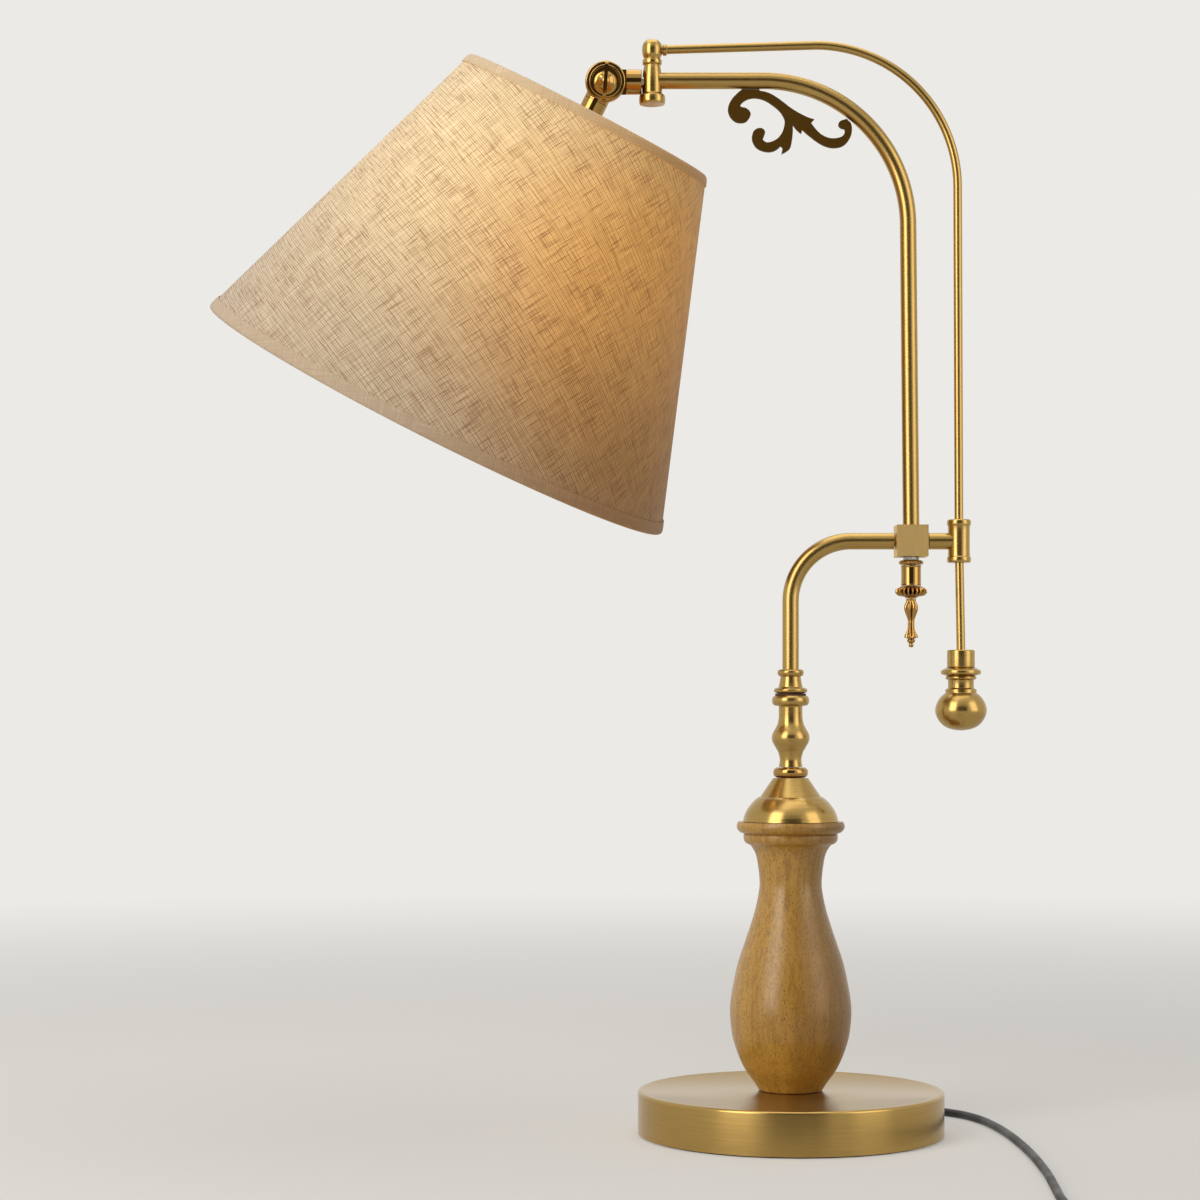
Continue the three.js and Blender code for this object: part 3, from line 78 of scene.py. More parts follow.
class Slot(Enum):
    """The material slots."""

    SATIN_BRASS = "satin_brass"
    BRUSHED_BRASS = "brushed_brass"
    POLISHED_BRASS = "polished_brass"
    DULL_BRASS = "dull_brass"
    ZINC = "zinc"
    CAST_IRON = "cast_iron"
    TURNED_WOOD = "turned_wood"
    FELT = "felt"
    FIBRE = "fibre"
    PHENOLIC = "phenolic"
    LINEN = "linen"
    TAPE = "tape"
    ENAMEL = "enamel"
    OPAL_GLASS = "opal_glass"
    NICKEL = "nickel"
    CORD_PLASTIC = "cord_plastic"
    ROCKER_RED = "rocker_red"


def shift(x: float = 0, y: float = 0, z: float = 0) -> Matrix:
    """Give a move, in millimetres."""
    return Matrix.Translation((x, y, z))


def spin(axis: str, degrees: float) -> Matrix:
    """Give a turn about an axis."""
    return Matrix.Rotation(math.radians(degrees), 4, axis)


def on_span(start: Vector, end: Vector, leave: Vector, arrive: Vector, share: float) -> Vector:
    """Give a spot on a smooth span between two points.

    Args:
        start: The first point.
        end: The last point.
        leave: The direction at the first point, as long as the span.
        arrive: The direction at the last point, as long as the span.
        share: How far along the spot lies, 0 to 1.

    Returns:
        The spot.
    """
    square, cube = share**2, share**3
    return (
        start * (2 * cube - 3 * square + 1) + leave * (cube - 2 * square + share)
        + end * (3 * square - 2 * cube) + arrive * (cube - square)
    )


def smooth_line(points: Sequence[Point], steps: int = 6, corner: float = 46, fillet: float = 0.25) -> list[Point]:
    """Run a smooth line through an outline, with small fillets where it turns hard.

    Args:
        points: The outline, in millimetres.
        steps: Stretches to each span of a curve.
        corner: Degrees of turning from which a point is a corner.
        fillet: How far before and after a corner its fillet starts, up to a seventh of the span there.

    Returns:
        The finer line, from the first point to the last.
    """
    nodes = [Vector(point) for point in points]
    spans = [after - before for before, after in pairwise(nodes)]
    last = len(spans)
    hard = {0, last}
    hard |= {i for i in range(1, last) if spans[i - 1].angle(spans[i]) > math.radians(corner)}

    def heading(i: int, span: Vector) -> Vector:
        """Give the line's direction at a point, seen from one of its spans."""
        if i in hard:
            return span.normalized()
        return (nodes[i + 1] - nodes[i - 1]) / (spans[i - 1].length + spans[i].length)

    line: list[Vector] = []
    for i, span in enumerate(spans):
        if i in hard and i > 0:
            enter, leave = (min(fillet, part.length / 7) for part in (spans[i - 1], span))
            start = nodes[i] - heading(i, spans[i - 1]) * enter
            end = nodes[i] + heading(i, span) * leave
            line += [start, (start + end) / 4 + nodes[i] / 2, end]
        else:
            line.append(nodes[i])
        ahead, behind = heading(i, span) * span.length, heading(i + 1, span) * span.length
        straight = i in hard and i + 1 in hard
        for step in range(1, 1 if straight else steps):
            line.append(on_span(nodes[i], nodes[i + 1], ahead, behind, step / steps))
    return [tuple(point) for point in (*line, nodes[-1])]


def arc(centre: Point, radius: float, start: float, end: float, steps: int = 24) -> list[Point]:
    """Give the points of an arc.

    Args:
        centre: Its centre.
        radius: Its radius.
        start: The first point's direction in degrees.
        end: The last point's direction in degrees.
        steps: Stretches along it.

    Returns:
        The points from start to end.
    """
    turns = [math.radians(start + (end - start) * i / steps) for i in range(steps + 1)]
    return [(centre[0] + radius * math.cos(turn), centre[1] + radius * math.sin(turn)) for turn in turns]


def in_arm_plane(points: Iterable[Point]) -> list[Vector]:
    """Put points of x and z into the plane that the arm lies in."""
    return [Vector((x, 0, z)) for x, z in points]


def smooth_route(points: Sequence[Vector], pace: float = 4) -> list[Vector]:
    """Run a smooth line through points in space.

    Args:
        points: The route's points, in millimetres.
        pace: About how far apart the new points lie.

    Returns:
        The finer line.
    """
    spans = [after - before for before, after in pairwise(points)]

    def heading(i: int) -> Vector:
        """Give the direction in which the route passes a point."""
        near = spans[max(i - 1, 0):i + 1]
        return sum(near, Vector()) / sum(span.length for span in near)

    line: list[Vector] = []
    for i, span in enumerate(spans):
        leave, arrive = heading(i) * span.length, heading(i + 1) * span.length
        steps = max(1, round(span.length / pace))
        line += [on_span(points[i], points[i + 1], leave, arrive, step / steps) for step in range(steps)]
    return [*line, points[-1]]


@dataclass(frozen=True)
class Turning:
    """A turned piece's outline, in shares of its radius and height from the bottom up."""

    radius: float
    height: float
    shares: Sequence[Point]

    def outline(self, bottom: float, bore: float = 0) -> list[Point]:
        """Give the outline in millimetres, with its two ends on the bore.

        Args:
            bottom: Height of its lower end.
            bore: Radius of the bore, or zero for a solid piece.

        Returns:
            Points of radius and height.
        """
        line = smooth_line([(r * self.radius, bottom + z * self.height) for r, z in self.shares])
        ends = [(bore, bottom), (bore, bottom + self.height)]
        return [ends[0], *line, ends[1], *(ends[:1] if bore else [])]


class Skin:
    """A mesh in the making. Its grain map, in metres, runs along the brush lines and across them."""

    def __init__(self) -> None:
        """Start an empty mesh."""
        self.mesh = bmesh.new()
        self.grain = self.mesh.loops.layers.uv.new("grain")

    def grid(self, rows: Sequence[Sequence[Vector]], ring: bool = True, along: bool = False) -> None:
        """Join rows of points by faces.

        Args:
            rows: Rows of as many points each, in millimetres.
            ring: Whether a row closes on itself.
            along: Whether the brush lines run from row to row, in place of along a row.
        """
        corners = [[self.mesh.verts.new(point * MM) for point in row] for row in rows]
        closed = [[*row, row[0]] if ring else list(row) for row in rows]
        widest = max(closed, key=lambda row: sum((b - a).length for a, b in pairwise(row)))
        across = self.lengths(widest)
        down = self.lengths([row[0] for row in rows])
        for i in range(len(rows) - 1):
            for j in range(len(widest) - 1):
                k = (j + 1) % len(corners[i])
                face = self.mesh.faces.new((corners[i][j], corners[i][k], corners[i + 1][k], corners[i + 1][j]))
                for loop, (u, v) in zip(face.loops, ((j, i), (j + 1, i), (j + 1, i + 1), (j, i + 1))):
                    spot = (across[u], down[v])
                    loop[self.grain].uv = spot[::-1] if along else spot

    @staticmethod
    def lengths(line: Sequence[Vector]) -> list[float]:
        """Measure along a line.

        Args:
            line: Its points, in millimetres.

        Returns:
            How far each point lies along it, in metres.
        """
        reach = [0.0]
        for before, after in pairwise(line):
            reach.append(reach[-1] + (after - before).length * MM)
        return reach

    def lathe(
        self,
        outline: Sequence[Point],
        sides: int = 96,
        place: Matrix = Matrix(),
        wave: Wave | None = None,
    ) -> "Skin":
        """Turn an outline about the Z axis.

        Args:
            outline: Points of radius and height, on the axis at both ends or closed.
            sides: Steps of the round.
            place: Where the piece goes.
            wave: Gives a factor on the radius from the turn and the height, for flutes.

        Returns:
            The skin itself.
        """
        rows = []
        for radius, height in outline:
            row = []
            for i in range(sides):
                turn = 2 * math.pi * i / sides
                reach = radius * (wave(turn, height) if wave else 1)
                row.append(place @ Vector((reach * math.cos(turn), reach * math.sin(turn), height)))
            rows.append(row)
        self.grid(rows)
        return self

    def sweep(self, line: Sequence[Vector], radius: float, sides: int = 28, edge: float = 0.2) -> "Skin":
        """Run a round bar along a line, with its ends closed and their edges broken.

        Args:
            line: The bar's centre line.
            radius: The bar's radius.
            sides: Steps of the round.
            edge: Width of the broken edge at both ends.

        Returns:
            The skin itself.
        """
        ahead = [(after - before).normalized() for before, after in pairwise(line)]
        line = [line[0], line[0] + ahead[0] * edge, *line[1:-1], line[-1] - ahead[-1] * edge, line[-1]]
        heads = [(line[min(i + 1, len(line) - 1)] - line[max(i - 1, 0)]).normalized() for i in range(len(line))]
        side = heads[0].orthogonal().normalized()
        if abs(heads[0].y) < 0.5:
            side = Vector((0, 1, 0)).cross(heads[0]).normalized()
        rows = []
        for i, (point, head) in enumerate(zip(line, heads)):
            if i:
                side = (heads[i - 1].rotation_difference(head) @ side).normalized()
            reach = radius - (edge if i in (0, len(line) - 1) else 0)
            rise = head.cross(side)
            turns = (2 * math.pi * j / sides for j in range(sides))
            rows.append([point + (side * math.cos(turn) + rise * math.sin(turn)) * reach for turn in turns])
        rows = [[line[0]] * sides, *rows, [line[-1]] * sides]
        self.grid(rows, along=True)
        return self

    def plate(self, outline: Sequence[Point], thickness: float, edge: float, place: Matrix = Matrix()) -> "Skin":
        """Cut a flat plate and round its edges.

        Args:
            outline: Its outline of x and y.
            thickness: Its thickness, half of it to each side of z = 0.
            edge: Radius of the rounded edges.
            place: Where the plate goes.

        Returns:
            The skin itself.
        """
        def face_corners(z: float) -> list[bmesh.types.BMVert]:
            """Make the corners of one face of the plate."""
            return [self.mesh.verts.new(place @ Vector((x, y, z)) * MM) for x, y in outline]

        low, high = face_corners(-thickness / 2), face_corners(thickness / 2)
        faces = [self.mesh.faces.new(low[::-1]), self.mesh.faces.new(high)]
        for i in range(len(low)):
            k = (i + 1) % len(low)
            faces.append(self.mesh.faces.new((low[i], low[k], high[k], high[i])))
        sharp = {
            line for face in faces for line in face.edges if line.calc_face_angle(0) > math.radians(ROUNDED)
        }
        made = bmesh.ops.bevel(
            self.mesh, geom=list(sharp), offset=edge * MM, segments=3, profile=0.5, affect="EDGES",
            clamp_overlap=True,
        )
        for face in {*made["faces"], *(face for face in faces if face.is_valid)}:
            face.normal_update()
            normal = place.to_3x3().inverted_safe() @ face.normal
            wide = abs(normal.z) > max(abs(normal.x), abs(normal.y))
            for loop in face.loops:
                spot = place.inverted_safe() @ (loop.vert.co / MM)
                loop[self.grain].uv = (spot.x * MM, spot.y * MM) if wide else ((spot.x + spot.y) * MM, spot.z * MM)
        return self

    def make(self, name: str, material: Material) -> Object:
        """Close the mesh and put it into the scene.

        Args:
            name: The piece's name.
            material: Its finish.

        Returns:
            The new object.
        """
        bmesh.ops.remove_doubles(self.mesh, verts=self.mesh.verts, dist=SAME * MM)
        bmesh.ops.dissolve_degenerate(self.mesh, edges=self.mesh.edges, dist=SAME * MM / 2)
        bmesh.ops.recalc_face_normals(self.mesh, faces=self.mesh.faces)
        data = bpy.data.meshes.new(name)
        self.mesh.to_mesh(data)
        self.mesh.free()
        data.shade_smooth()
        data.set_sharp_from_angle(angle=math.radians(SHARP))
        data.materials.append(material)
        piece = bpy.data.objects.new(name, data)
        bpy.context.scene.collection.objects.link(piece)
        return piece


def cut_out(piece: Object, cutter: Object) -> None:
    """Cut one closed mesh out of another and take the cutter away.

    Args:
        piece: The piece that keeps its place.
        cutter: What is cut out of it.
    """
    cut = piece.modifiers.new("cut", "BOOLEAN")
    cut.operation, cut.solver, cut.object = "DIFFERENCE", "EXACT", cutter
    bpy.context.view_layer.update()
    data = bpy.data.meshes.new_from_object(piece.evaluated_get(bpy.context.evaluated_depsgraph_get()))
    data.set_sharp_from_angle(angle=math.radians(SHARP))
    piece.modifiers.clear()
    piece.data = data
    bpy.data.objects.remove(cutter)


def linear(colour: Colour, gain: float = 1) -> tuple[float, float, float, float]:
    """Turn a colour of 0 to 255 as seen into the linear value that the shader takes.

    Args:
        colour: Red, green and blue as seen.
        gain: A factor on the linear value.

    Returns:
        Red, green, blue and a full alpha.
    """
    shares = [part / 255 for part in colour]
    parts = [share / 12.92 if share <= 0.04045 else ((share + 0.055) / 1.055) ** 2.4 for share in shares]
    return (*(part * gain for part in parts), 1.0)


Value = NodeSocket | float | Sequence[float]


class Nodes:
    """A tree of nodes, with short ways to add to it."""

    def __init__(self, tree: bpy.types.NodeTree) -> None:
        """Start with an empty tree."""
        self.tree = tree
        tree.nodes.clear()

    def add(self, kind: str, inputs: dict[int | str, Value] | None = None, **settings: Any) -> bpy.types.Node:
        """Add a node.

        Args:
            kind: Blender's name of the node.
            inputs: Sockets by name or number, each with a constant or what is linked to it.
            settings: The node's own settings.

        Returns:
            The new node.
        """
        node = self.tree.nodes.new(kind)
        for name, setting in settings.items():
            setattr(node, name, setting)
        for name, value in (inputs or {}).items():
            self.plug_in(node.inputs[name], value)
        return node

    def plug_in(self, socket: NodeSocket, value: Value) -> None:
        """Link a socket to a value, or set it where the value is a constant.

        Args:
            socket: The socket.
            value: Another node's output, or a constant.
        """
        if isinstance(value, NodeSocket):
            self.tree.links.new(value, socket)
        else:
            socket.default_value = value

    def calc(self, operation: str, first: Value, second: Value = 0.0) -> NodeSocket:
        """Join two numbers by one operation."""
        return self.add("ShaderNodeMath", {0: first, 1: second}, operation=operation).outputs[0]


class Board(Nodes):
    """The nodes of one material, with a short method for each kind that the finishes use."""

    def __init__(self, name: str) -> None:
        """Start a material with its shader, its output and the places that patterns are laid on.

        Args:
            name: The material's name.
        """
        self.material = bpy.data.materials.new(name)
        self.material.use_nodes = True
        super().__init__(self.material.node_tree)
        self.shader = self.add("ShaderNodeBsdfPrincipled")
        self.add("ShaderNodeOutputMaterial", {0: self.shader.outputs[0]})
        self.object: NodeSocket = self.add("ShaderNodeTexCoord").outputs["Object"]
        self.grain: NodeSocket = self.add("ShaderNodeUVMap", uv_map="grain").outputs[0]

    def noise(self, vector: NodeSocket, scale: Place, detail: float = 2, rough: float = 0.5) -> NodeSocket:
        """Give a cloudy pattern.

        Args:
            vector: The places that it is laid on, in metres.
            scale: Clouds to the metre along each axis.
            detail: How many finer layers it has.
            rough: How strong the finer layers are.

        Returns:
            The pattern, about 0 to 1.
        """
        spread = self.vector("MULTIPLY", vector, scale)
        inputs = {"Vector": spread, "Scale": 1.0, "Detail": detail, "Roughness": rough}
        return self.add("ShaderNodeTexNoise", inputs).outputs[0]

    def marks(self, vector: NodeSocket, scale: Place, reach: float, rare: float, flat: bool = False) -> NodeSocket:
        """Give scattered long spots, each with its own strength.

        Args:
            vector: The places that they are laid on, in metres.
            scale: Spots to the metre along each axis.
            reach: How far a spot reaches into its cell, as a share of it.
            rare: The share of spots that are faint.
            flat: Whether the third axis is left out.

        Returns:
            The spots, 0 to 1.
        """
        inputs = {"Vector": self.vector("MULTIPLY", vector, scale), "Scale": 1.0}
        cells = self.add("ShaderNodeTexVoronoi", inputs, voronoi_dimensions="2D" if flat else "3D")
        spot = self.span(cells.outputs["Distance"], 0.4 * reach, reach, 1, 0)
        return self.calc("MULTIPLY", spot, self.span(cells.outputs["Color"], rare - 0.2, rare + 0.25))

    def span(self, value: NodeSocket, low: float, high: float, to_low: float = 0, to_high: float = 1) -> NodeSocket:
        """Stretch a value from one range to another, and hold it there."""
        inputs = {0: value, 1: low, 2: high, 3: to_low, 4: to_high}
        return self.add("ShaderNodeMapRange", inputs, interpolation_type="SMOOTHSTEP").outputs[0]

    def vector(self, operation: str, first: Value, second: Value = (0.0, 0.0, 0.0)) -> NodeSocket:
        """Join two vectors by one operation, to a vector or, where it measures, to a number."""
        node = self.add("ShaderNodeVectorMath", {0: first, 1: second}, operation=operation)
        return node.outputs[1 if operation in ("DISTANCE", "LENGTH") else 0]

    def mix(self, factor: Value, first: Value, second: Value, kind: str = "MIX") -> NodeSocket:
        """Mix two colours by a factor."""
        inputs = {0: factor, 6: first, 7: second}
        return self.add("ShaderNodeMix", inputs, data_type="RGBA", blend_type=kind).outputs[2]

    def bump(self, height: NodeSocket, depth: float, strength: float = 1) -> NodeSocket:
        """Turn a height pattern of this depth in millimetres into a bent normal."""
        inputs = {"Height": height, "Distance": depth * MM, "Strength": strength}
        return self.add("ShaderNodeBump", inputs).outputs[0]

    def done(self, **sockets: Value) -> Material:
        """Set the shader's sockets and give the material.

        Args:
            sockets: The shader's sockets, with an underscore for a space, each with a constant or a link.

        Returns:
            The finished material.
        """
        for name, value in sockets.items():
            self.plug_in(self.shader.inputs[name.replace("_", " ")], value)
        return self.material


class Finish(Protocol):
    """What every finish has: the slot that it fills and a way to make its material."""

    slot: Slot

    def material(self) -> Material:
        """Make the material."""


@dataclass(frozen=True)
class Metal:
    """Bare metal, with brush lines along its grain and a faint tarnish."""

    slot: Slot
    colour: Colour
    roughness: float
    brushed: float = 0.3
    tarnish: float = 0.12
    spread: float = 0
    light: float = 1.06
    dark: float = 0.72
    stained: float = 0.5
    line_width: float = 0.7
    line_length: float = 60
    line_depth: float = 0.0015
    cloud_scale: Place = (45, 45, 45)
    speck_scale: Place = (900, 900, 900)

    def material(self) -> Material:
        """Make the metal's material.

        Returns:
            The material.
        """
        board = Board(self.slot.value)
        across, along = 1 / (self.line_width * MM), 1 / (self.line_length * MM)
        lines = board.noise(board.grain, (along, across, 0), detail=3, rough=0.6)
        fine = board.noise(board.grain, (4 * along, 3 * across, 0), detail=1)
        clouds = board.noise(board.object, self.cloud_scale, detail=3, rough=0.6)
        specks = board.noise(board.object, self.speck_scale, detail=1)
        brush = board.calc("ADD", board.calc("MULTIPLY", lines, 0.6), board.calc("MULTIPLY", fine, 0.4))
        light, dark, stained = (linear(self.colour, gain) for gain in (self.light, self.dark, self.stained))
        tint = board.mix(board.span(brush, 0.35, 0.65, 0.5 - self.brushed / 2, 0.5 + self.brushed / 2), dark, light)
        stain = board.span(clouds, 0.5, 0.78, 0, self.tarnish)
        tint = board.mix(stain, tint, stained)
        tint = board.mix(board.span(specks, 0.72, 0.8, 0, self.tarnish), tint, stained)
        sheen = board.calc("MULTIPLY_ADD", brush, 0.3 * self.roughness)
        sheen.node.inputs[2].default_value = 0.8 * self.roughness
        gloss = board.calc("ADD", sheen, board.calc("MULTIPLY", stain, 0.2))
        if self.spread:
            way = board.add("ShaderNodeTangent", direction_type="UV_MAP", uv_map="grain").outputs[0]
            board.done(Tangent=way, Anisotropic=self.spread, Anisotropic_Rotation=0.25)
        normal = board.bump(lines, self.line_depth, self.brushed)
        return board.done(Base_Color=tint, Roughness=gloss, Metallic=1.0, Normal=normal)


@dataclass(frozen=True)
class Wood:
    """Light hardwood under satin lacquer: rings cut by the turning, flecks and fine open pores."""

    slot: Slot
    light: Colour
    middle: Colour
    dark: Colour
    pore: Colour
    roughness: float
    heart: Place = (-0.028, 0.075, 0.0)
    ring: float = 6.5
    drawn_out: Place = (1, 1, 0.16)
    broad_scale: Place = (26, 26, 3.5)
    streak_scale: Place = (430, 430, 9)
    pore_scale: Place = (1000, 1000, 380)
    pore_depth: float = 0.04
    fleck_scale: Place = (700, 700, 160)
    fleck_gain: float = 1.15

    def material(self) -> Material:
        """Make the wood's material.

        Returns:
            The material.
        """
        board = Board(self.slot.value)
        drawn = board.vector("MULTIPLY", board.vector("SUBTRACT", board.object, self.heart), self.drawn_out)
        inputs = {"Vector": drawn, "Scale": 0.5 / (self.ring * MM) / 10, "Distortion": 2.6, "Detail": 3.0}
        inputs |= {"Detail Scale": 1.4, "Detail Roughness": 0.55}
        settings = {"wave_type": "RINGS", "rings_direction": "Z", "wave_profile": "SAW"}
        rings = board.add("ShaderNodeTexWave", inputs, **settings).outputs[1]
        broad = board.noise(board.object, self.broad_scale, detail=3, rough=0.55)
        streaks = board.noise(board.object, self.streak_scale, detail=3, rough=0.65)
        pores = board.marks(board.object, self.pore_scale, 0.4, 0.25)
        flecks = board.noise(board.object, self.fleck_scale, detail=1)
        dark = linear(self.dark)
        tone = board.mix(board.span(rings, 0.15, 0.95), linear(self.light), linear(self.middle))
        tone = board.mix(board.span(broad, 0.46, 0.68, 0, 0.6), tone, dark)
        tone = board.mix(board.span(streaks, 0.42, 0.7, 0, 0.6), tone, dark)
        tone = board.mix(board.span(flecks, 0.66, 0.76, 0, 0.35), tone, linear(self.light, self.fleck_gain))
        tone = board.mix(board.calc("MULTIPLY", pores, 0.65), tone, linear(self.pore))
        normal = board.bump(board.calc("SUBTRACT", 1.0, pores), self.pore_depth, 0.4)
        gloss = board.span(broad, 0.3, 0.7, self.roughness - 0.05, self.roughness + 0.07)
        return board.done(Base_Color=tone, Roughness=gloss, Normal=normal, Specular_IOR_Level=0.6)


@dataclass(frozen=True)
class Linen:
    """Natural linen, seen by the light that falls on it, with the bulb's light that comes through painted on: an
    emitted glow and a golden tint on one side.
    """

    slot: Slot
    light: Colour
    dark: Colour
    slub: Colour
    # The painted glow: the cloth's emitted colour, its strength, and its centre, set a little in front of the bulb
    # itself.
    glow: Colour
    glow_gain: float
    bulb: Place
    # Painted golden glow in the base colour: its tint, its centre, and the distances over which it fades.
    painted_golden_tint: Colour = (255, 200, 120)
    painted_golden_spot: Place = (-0.065, -0.05, 0.46)
    painted_golden_near: float = 0.07
    painted_golden_far: float = 0.2
    # How far the painted glow reaches from its centre.
    reach: float = 115
    thread: float = 0.75
    thread_length: float = 22
    rib: float = 1.25
    rib_share: float = 0.17
    slub_gap: float = 1.5
    slub_share: float = 1
    short_slub: float = 34
    long_slub: float = 80
    cloud_scale: Place = (38, 38, 0)
    gap_scale: Place = (800, 800, 0)
    depth: float = 0.35

    def threads(self, board: Board, across: int) -> tuple[NodeSocket, NodeSocket]:
        """Give the threads that run one way.

        Args:
            board: The material's nodes.
            across: Which axis of the grain map crosses the threads, 0 or 1.

        Returns:
            The fine threads and the thick dark ones, each 0 to 1.
        """
        def scale(length: float, gap: float) -> Place:
            """Give how many such threads go to the metre, along and across them.

            Args:
                length: A thread's length.
                gap: How far apart they run.

            Returns:
                The scale for each axis of the grain map.
            """
            spread = [1 / (length * MM)] * 2 + [0.0]
            spread[across] = 1 / (gap * MM)
            return tuple(spread)

        weave = board.noise(board.grain, scale(self.thread_length, self.thread), detail=1, rough=0.6)
        few = board.marks(board.grain, scale(self.short_slub, self.slub_gap), 0.2, 0.5, flat=True)
        many = board.marks(board.grain, scale(self.long_slub, 1.3 * self.slub_gap), 0.14, 0.4, flat=True)
        return weave, board.calc("MAXIMUM", few, board.calc("MULTIPLY", many, 0.6))

    def ribs(self, board: Board, pairs: int) -> NodeSocket:
        """Give the even ribs of the weft.

        Args:
            board: The material's nodes.
            pairs: 1 for each rib, 2 for every second one.

        Returns:
            The ribs, 0 to 1.
        """
        inputs = {"Vector": board.grain, "Scale": 0.314 / (pairs * self.rib * MM), "Distortion": 0.5, "Detail": 1.0}
        inputs |= {"Detail Scale": 0.4}
        return board.add("ShaderNodeTexWave", inputs, wave_type="BANDS", bands_direction="Y").outputs[1]

    def material(self) -> Material:
        """Make the cloth's material.

        Returns:
            The material.
        """
        board = Board(self.slot.value)
        warp, warp_slubs = self.threads(board, 0)
        weft, weft_slubs = self.threads(board, 1)
        threads = board.calc("ADD", board.calc("MULTIPLY", warp, 0.4), board.calc("MULTIPLY", weft, 0.4))
        ribs = board.calc("ADD", self.ribs(board, 1), board.calc("MULTIPLY", self.ribs(board, 2), 0.4))
        weave = board.calc("ADD", threads, board.calc("MULTIPLY", ribs, self.rib_share))
        cloud = board.noise(board.grain, self.cloud_scale, detail=2)
        gaps = board.noise(board.grain, self.gap_scale, detail=1)
        slubs = board.calc("MULTIPLY", board.calc("MAXIMUM", warp_slubs, weft_slubs), self.slub_share)
        tone = board.mix(board.span(weave, 0.36, 0.64), linear(self.dark), linear(self.light))
        tone = board.mix(board.span(cloud, 0.35, 0.7, 0, 0.12), tone, linear(self.dark))
        tone = board.mix(board.span(gaps, 0.7, 0.8, 0, 0.3), tone, linear(self.slub))
        tone = board.mix(board.calc("MULTIPLY", slubs, 0.7), tone, linear(self.slub))
        # Painted light: near this spot the cloth's base colour is tinted golden. It is a painted glow for the bulb's
        # light through the cloth, on the side that the key lamp leaves dark.
        painted_golden_tone = board.mix(1.0, tone, linear(self.painted_golden_tint), "MULTIPLY")
        from_painted_golden_spot = board.vector("DISTANCE", board.object, self.painted_golden_spot)
        tone = board.mix(board.span(from_painted_golden_spot, self.painted_golden_near, self.painted_golden_far, 0.75, 0), tone, painted_golden_tone)
        # Painted glow: the cloth emits light that stands in for the bulb's light shining through it. It fades with
        # distance from the glow's centre and is dimmed at the slubs.
        share = board.calc("DIVIDE", board.vector("DISTANCE", board.object, self.bulb), self.reach * MM)
        near = board.calc("EXPONENT", board.calc("MULTIPLY", board.calc("MULTIPLY", share, share), -1.0))
        lit = board.mix(1.0, tone, linear(self.glow, self.glow_gain), "MULTIPLY")
        lit = board.mix(board.calc("MULTIPLY", slubs, 0.6), lit, linear(self.slub, 0.5))
        glow = board.mix(near, BLACK, lit)
        glow.node.clamp_factor = False
        height = board.calc("SUBTRACT", board.calc("ADD", weave, board.calc("MULTIPLY", slubs, 0.5)), gaps)
        return board.done(
            Base_Color=tone, Roughness=0.9, Normal=board.bump(height, self.depth, 0.6), Sheen_Weight=0.25,
            Sheen_Roughness=0.5, Specular_IOR_Level=0.2, Emission_Color=glow, Emission_Strength=1.0,
        )


@dataclass(frozen=True)
class Moulded:
    """Plastic, enamel, fibre or felt: one colour with a fine grain, clouds and rubbed spots."""

    slot: Slot
    colour: Colour
    roughness: float
    grain: float = 0.4
    depth: float = 0.05
    wear: float = 0.15
    worn: float = 1.8
    fuzz: float = 0
    cloud_scale: Place = (60, 60, 60)

    def material(self) -> Material:
        """Make the piece's material.

        Returns:
            The material.
        """
        board = Board(self.slot.value)
        size = 1 / (self.grain * MM)
        pits = board.noise(board.object, (size, size, size), detail=2, rough=0.6)
        clouds = board.noise(board.object, self.cloud_scale, detail=3)
        tone = board.mix(board.span(pits, 0.35, 0.65), linear(self.colour, 0.85), linear(self.colour, 1.1))
        tone = board.mix(board.span(clouds, 0.5, 0.75, 0, self.wear), tone, linear(self.colour, self.worn))
        gloss = board.span(clouds, 0.3, 0.7, self.roughness - 0.05, self.roughness + 0.1)
        normal = board.bump(pits, self.depth, 0.5)
        return board.done(Base_Color=tone, Roughness=gloss, Normal=normal, Sheen_Weight=self.fuzz)


@dataclass(frozen=True)
class OpalGlass:
    """The bulb's white glass, alight."""

    slot: Slot
    colour: Colour
    strength: float
    cloud_scale: Place = (30, 30, 30)

    def material(self) -> Material:
        """Make the glass's material.

        Returns:
            The material.
        """
        board = Board(self.slot.value)
        clouds = board.noise(board.object, self.cloud_scale, detail=1)
        light = board.mix(board.span(clouds, 0.3, 0.7), linear(self.colour, 0.92), linear(self.colour))
        return board.done(
            Base_Color=light, Roughness=0.18, Emission_Color=light, Emission_Strength=self.strength
        )


Palette = dict[Slot, Material]


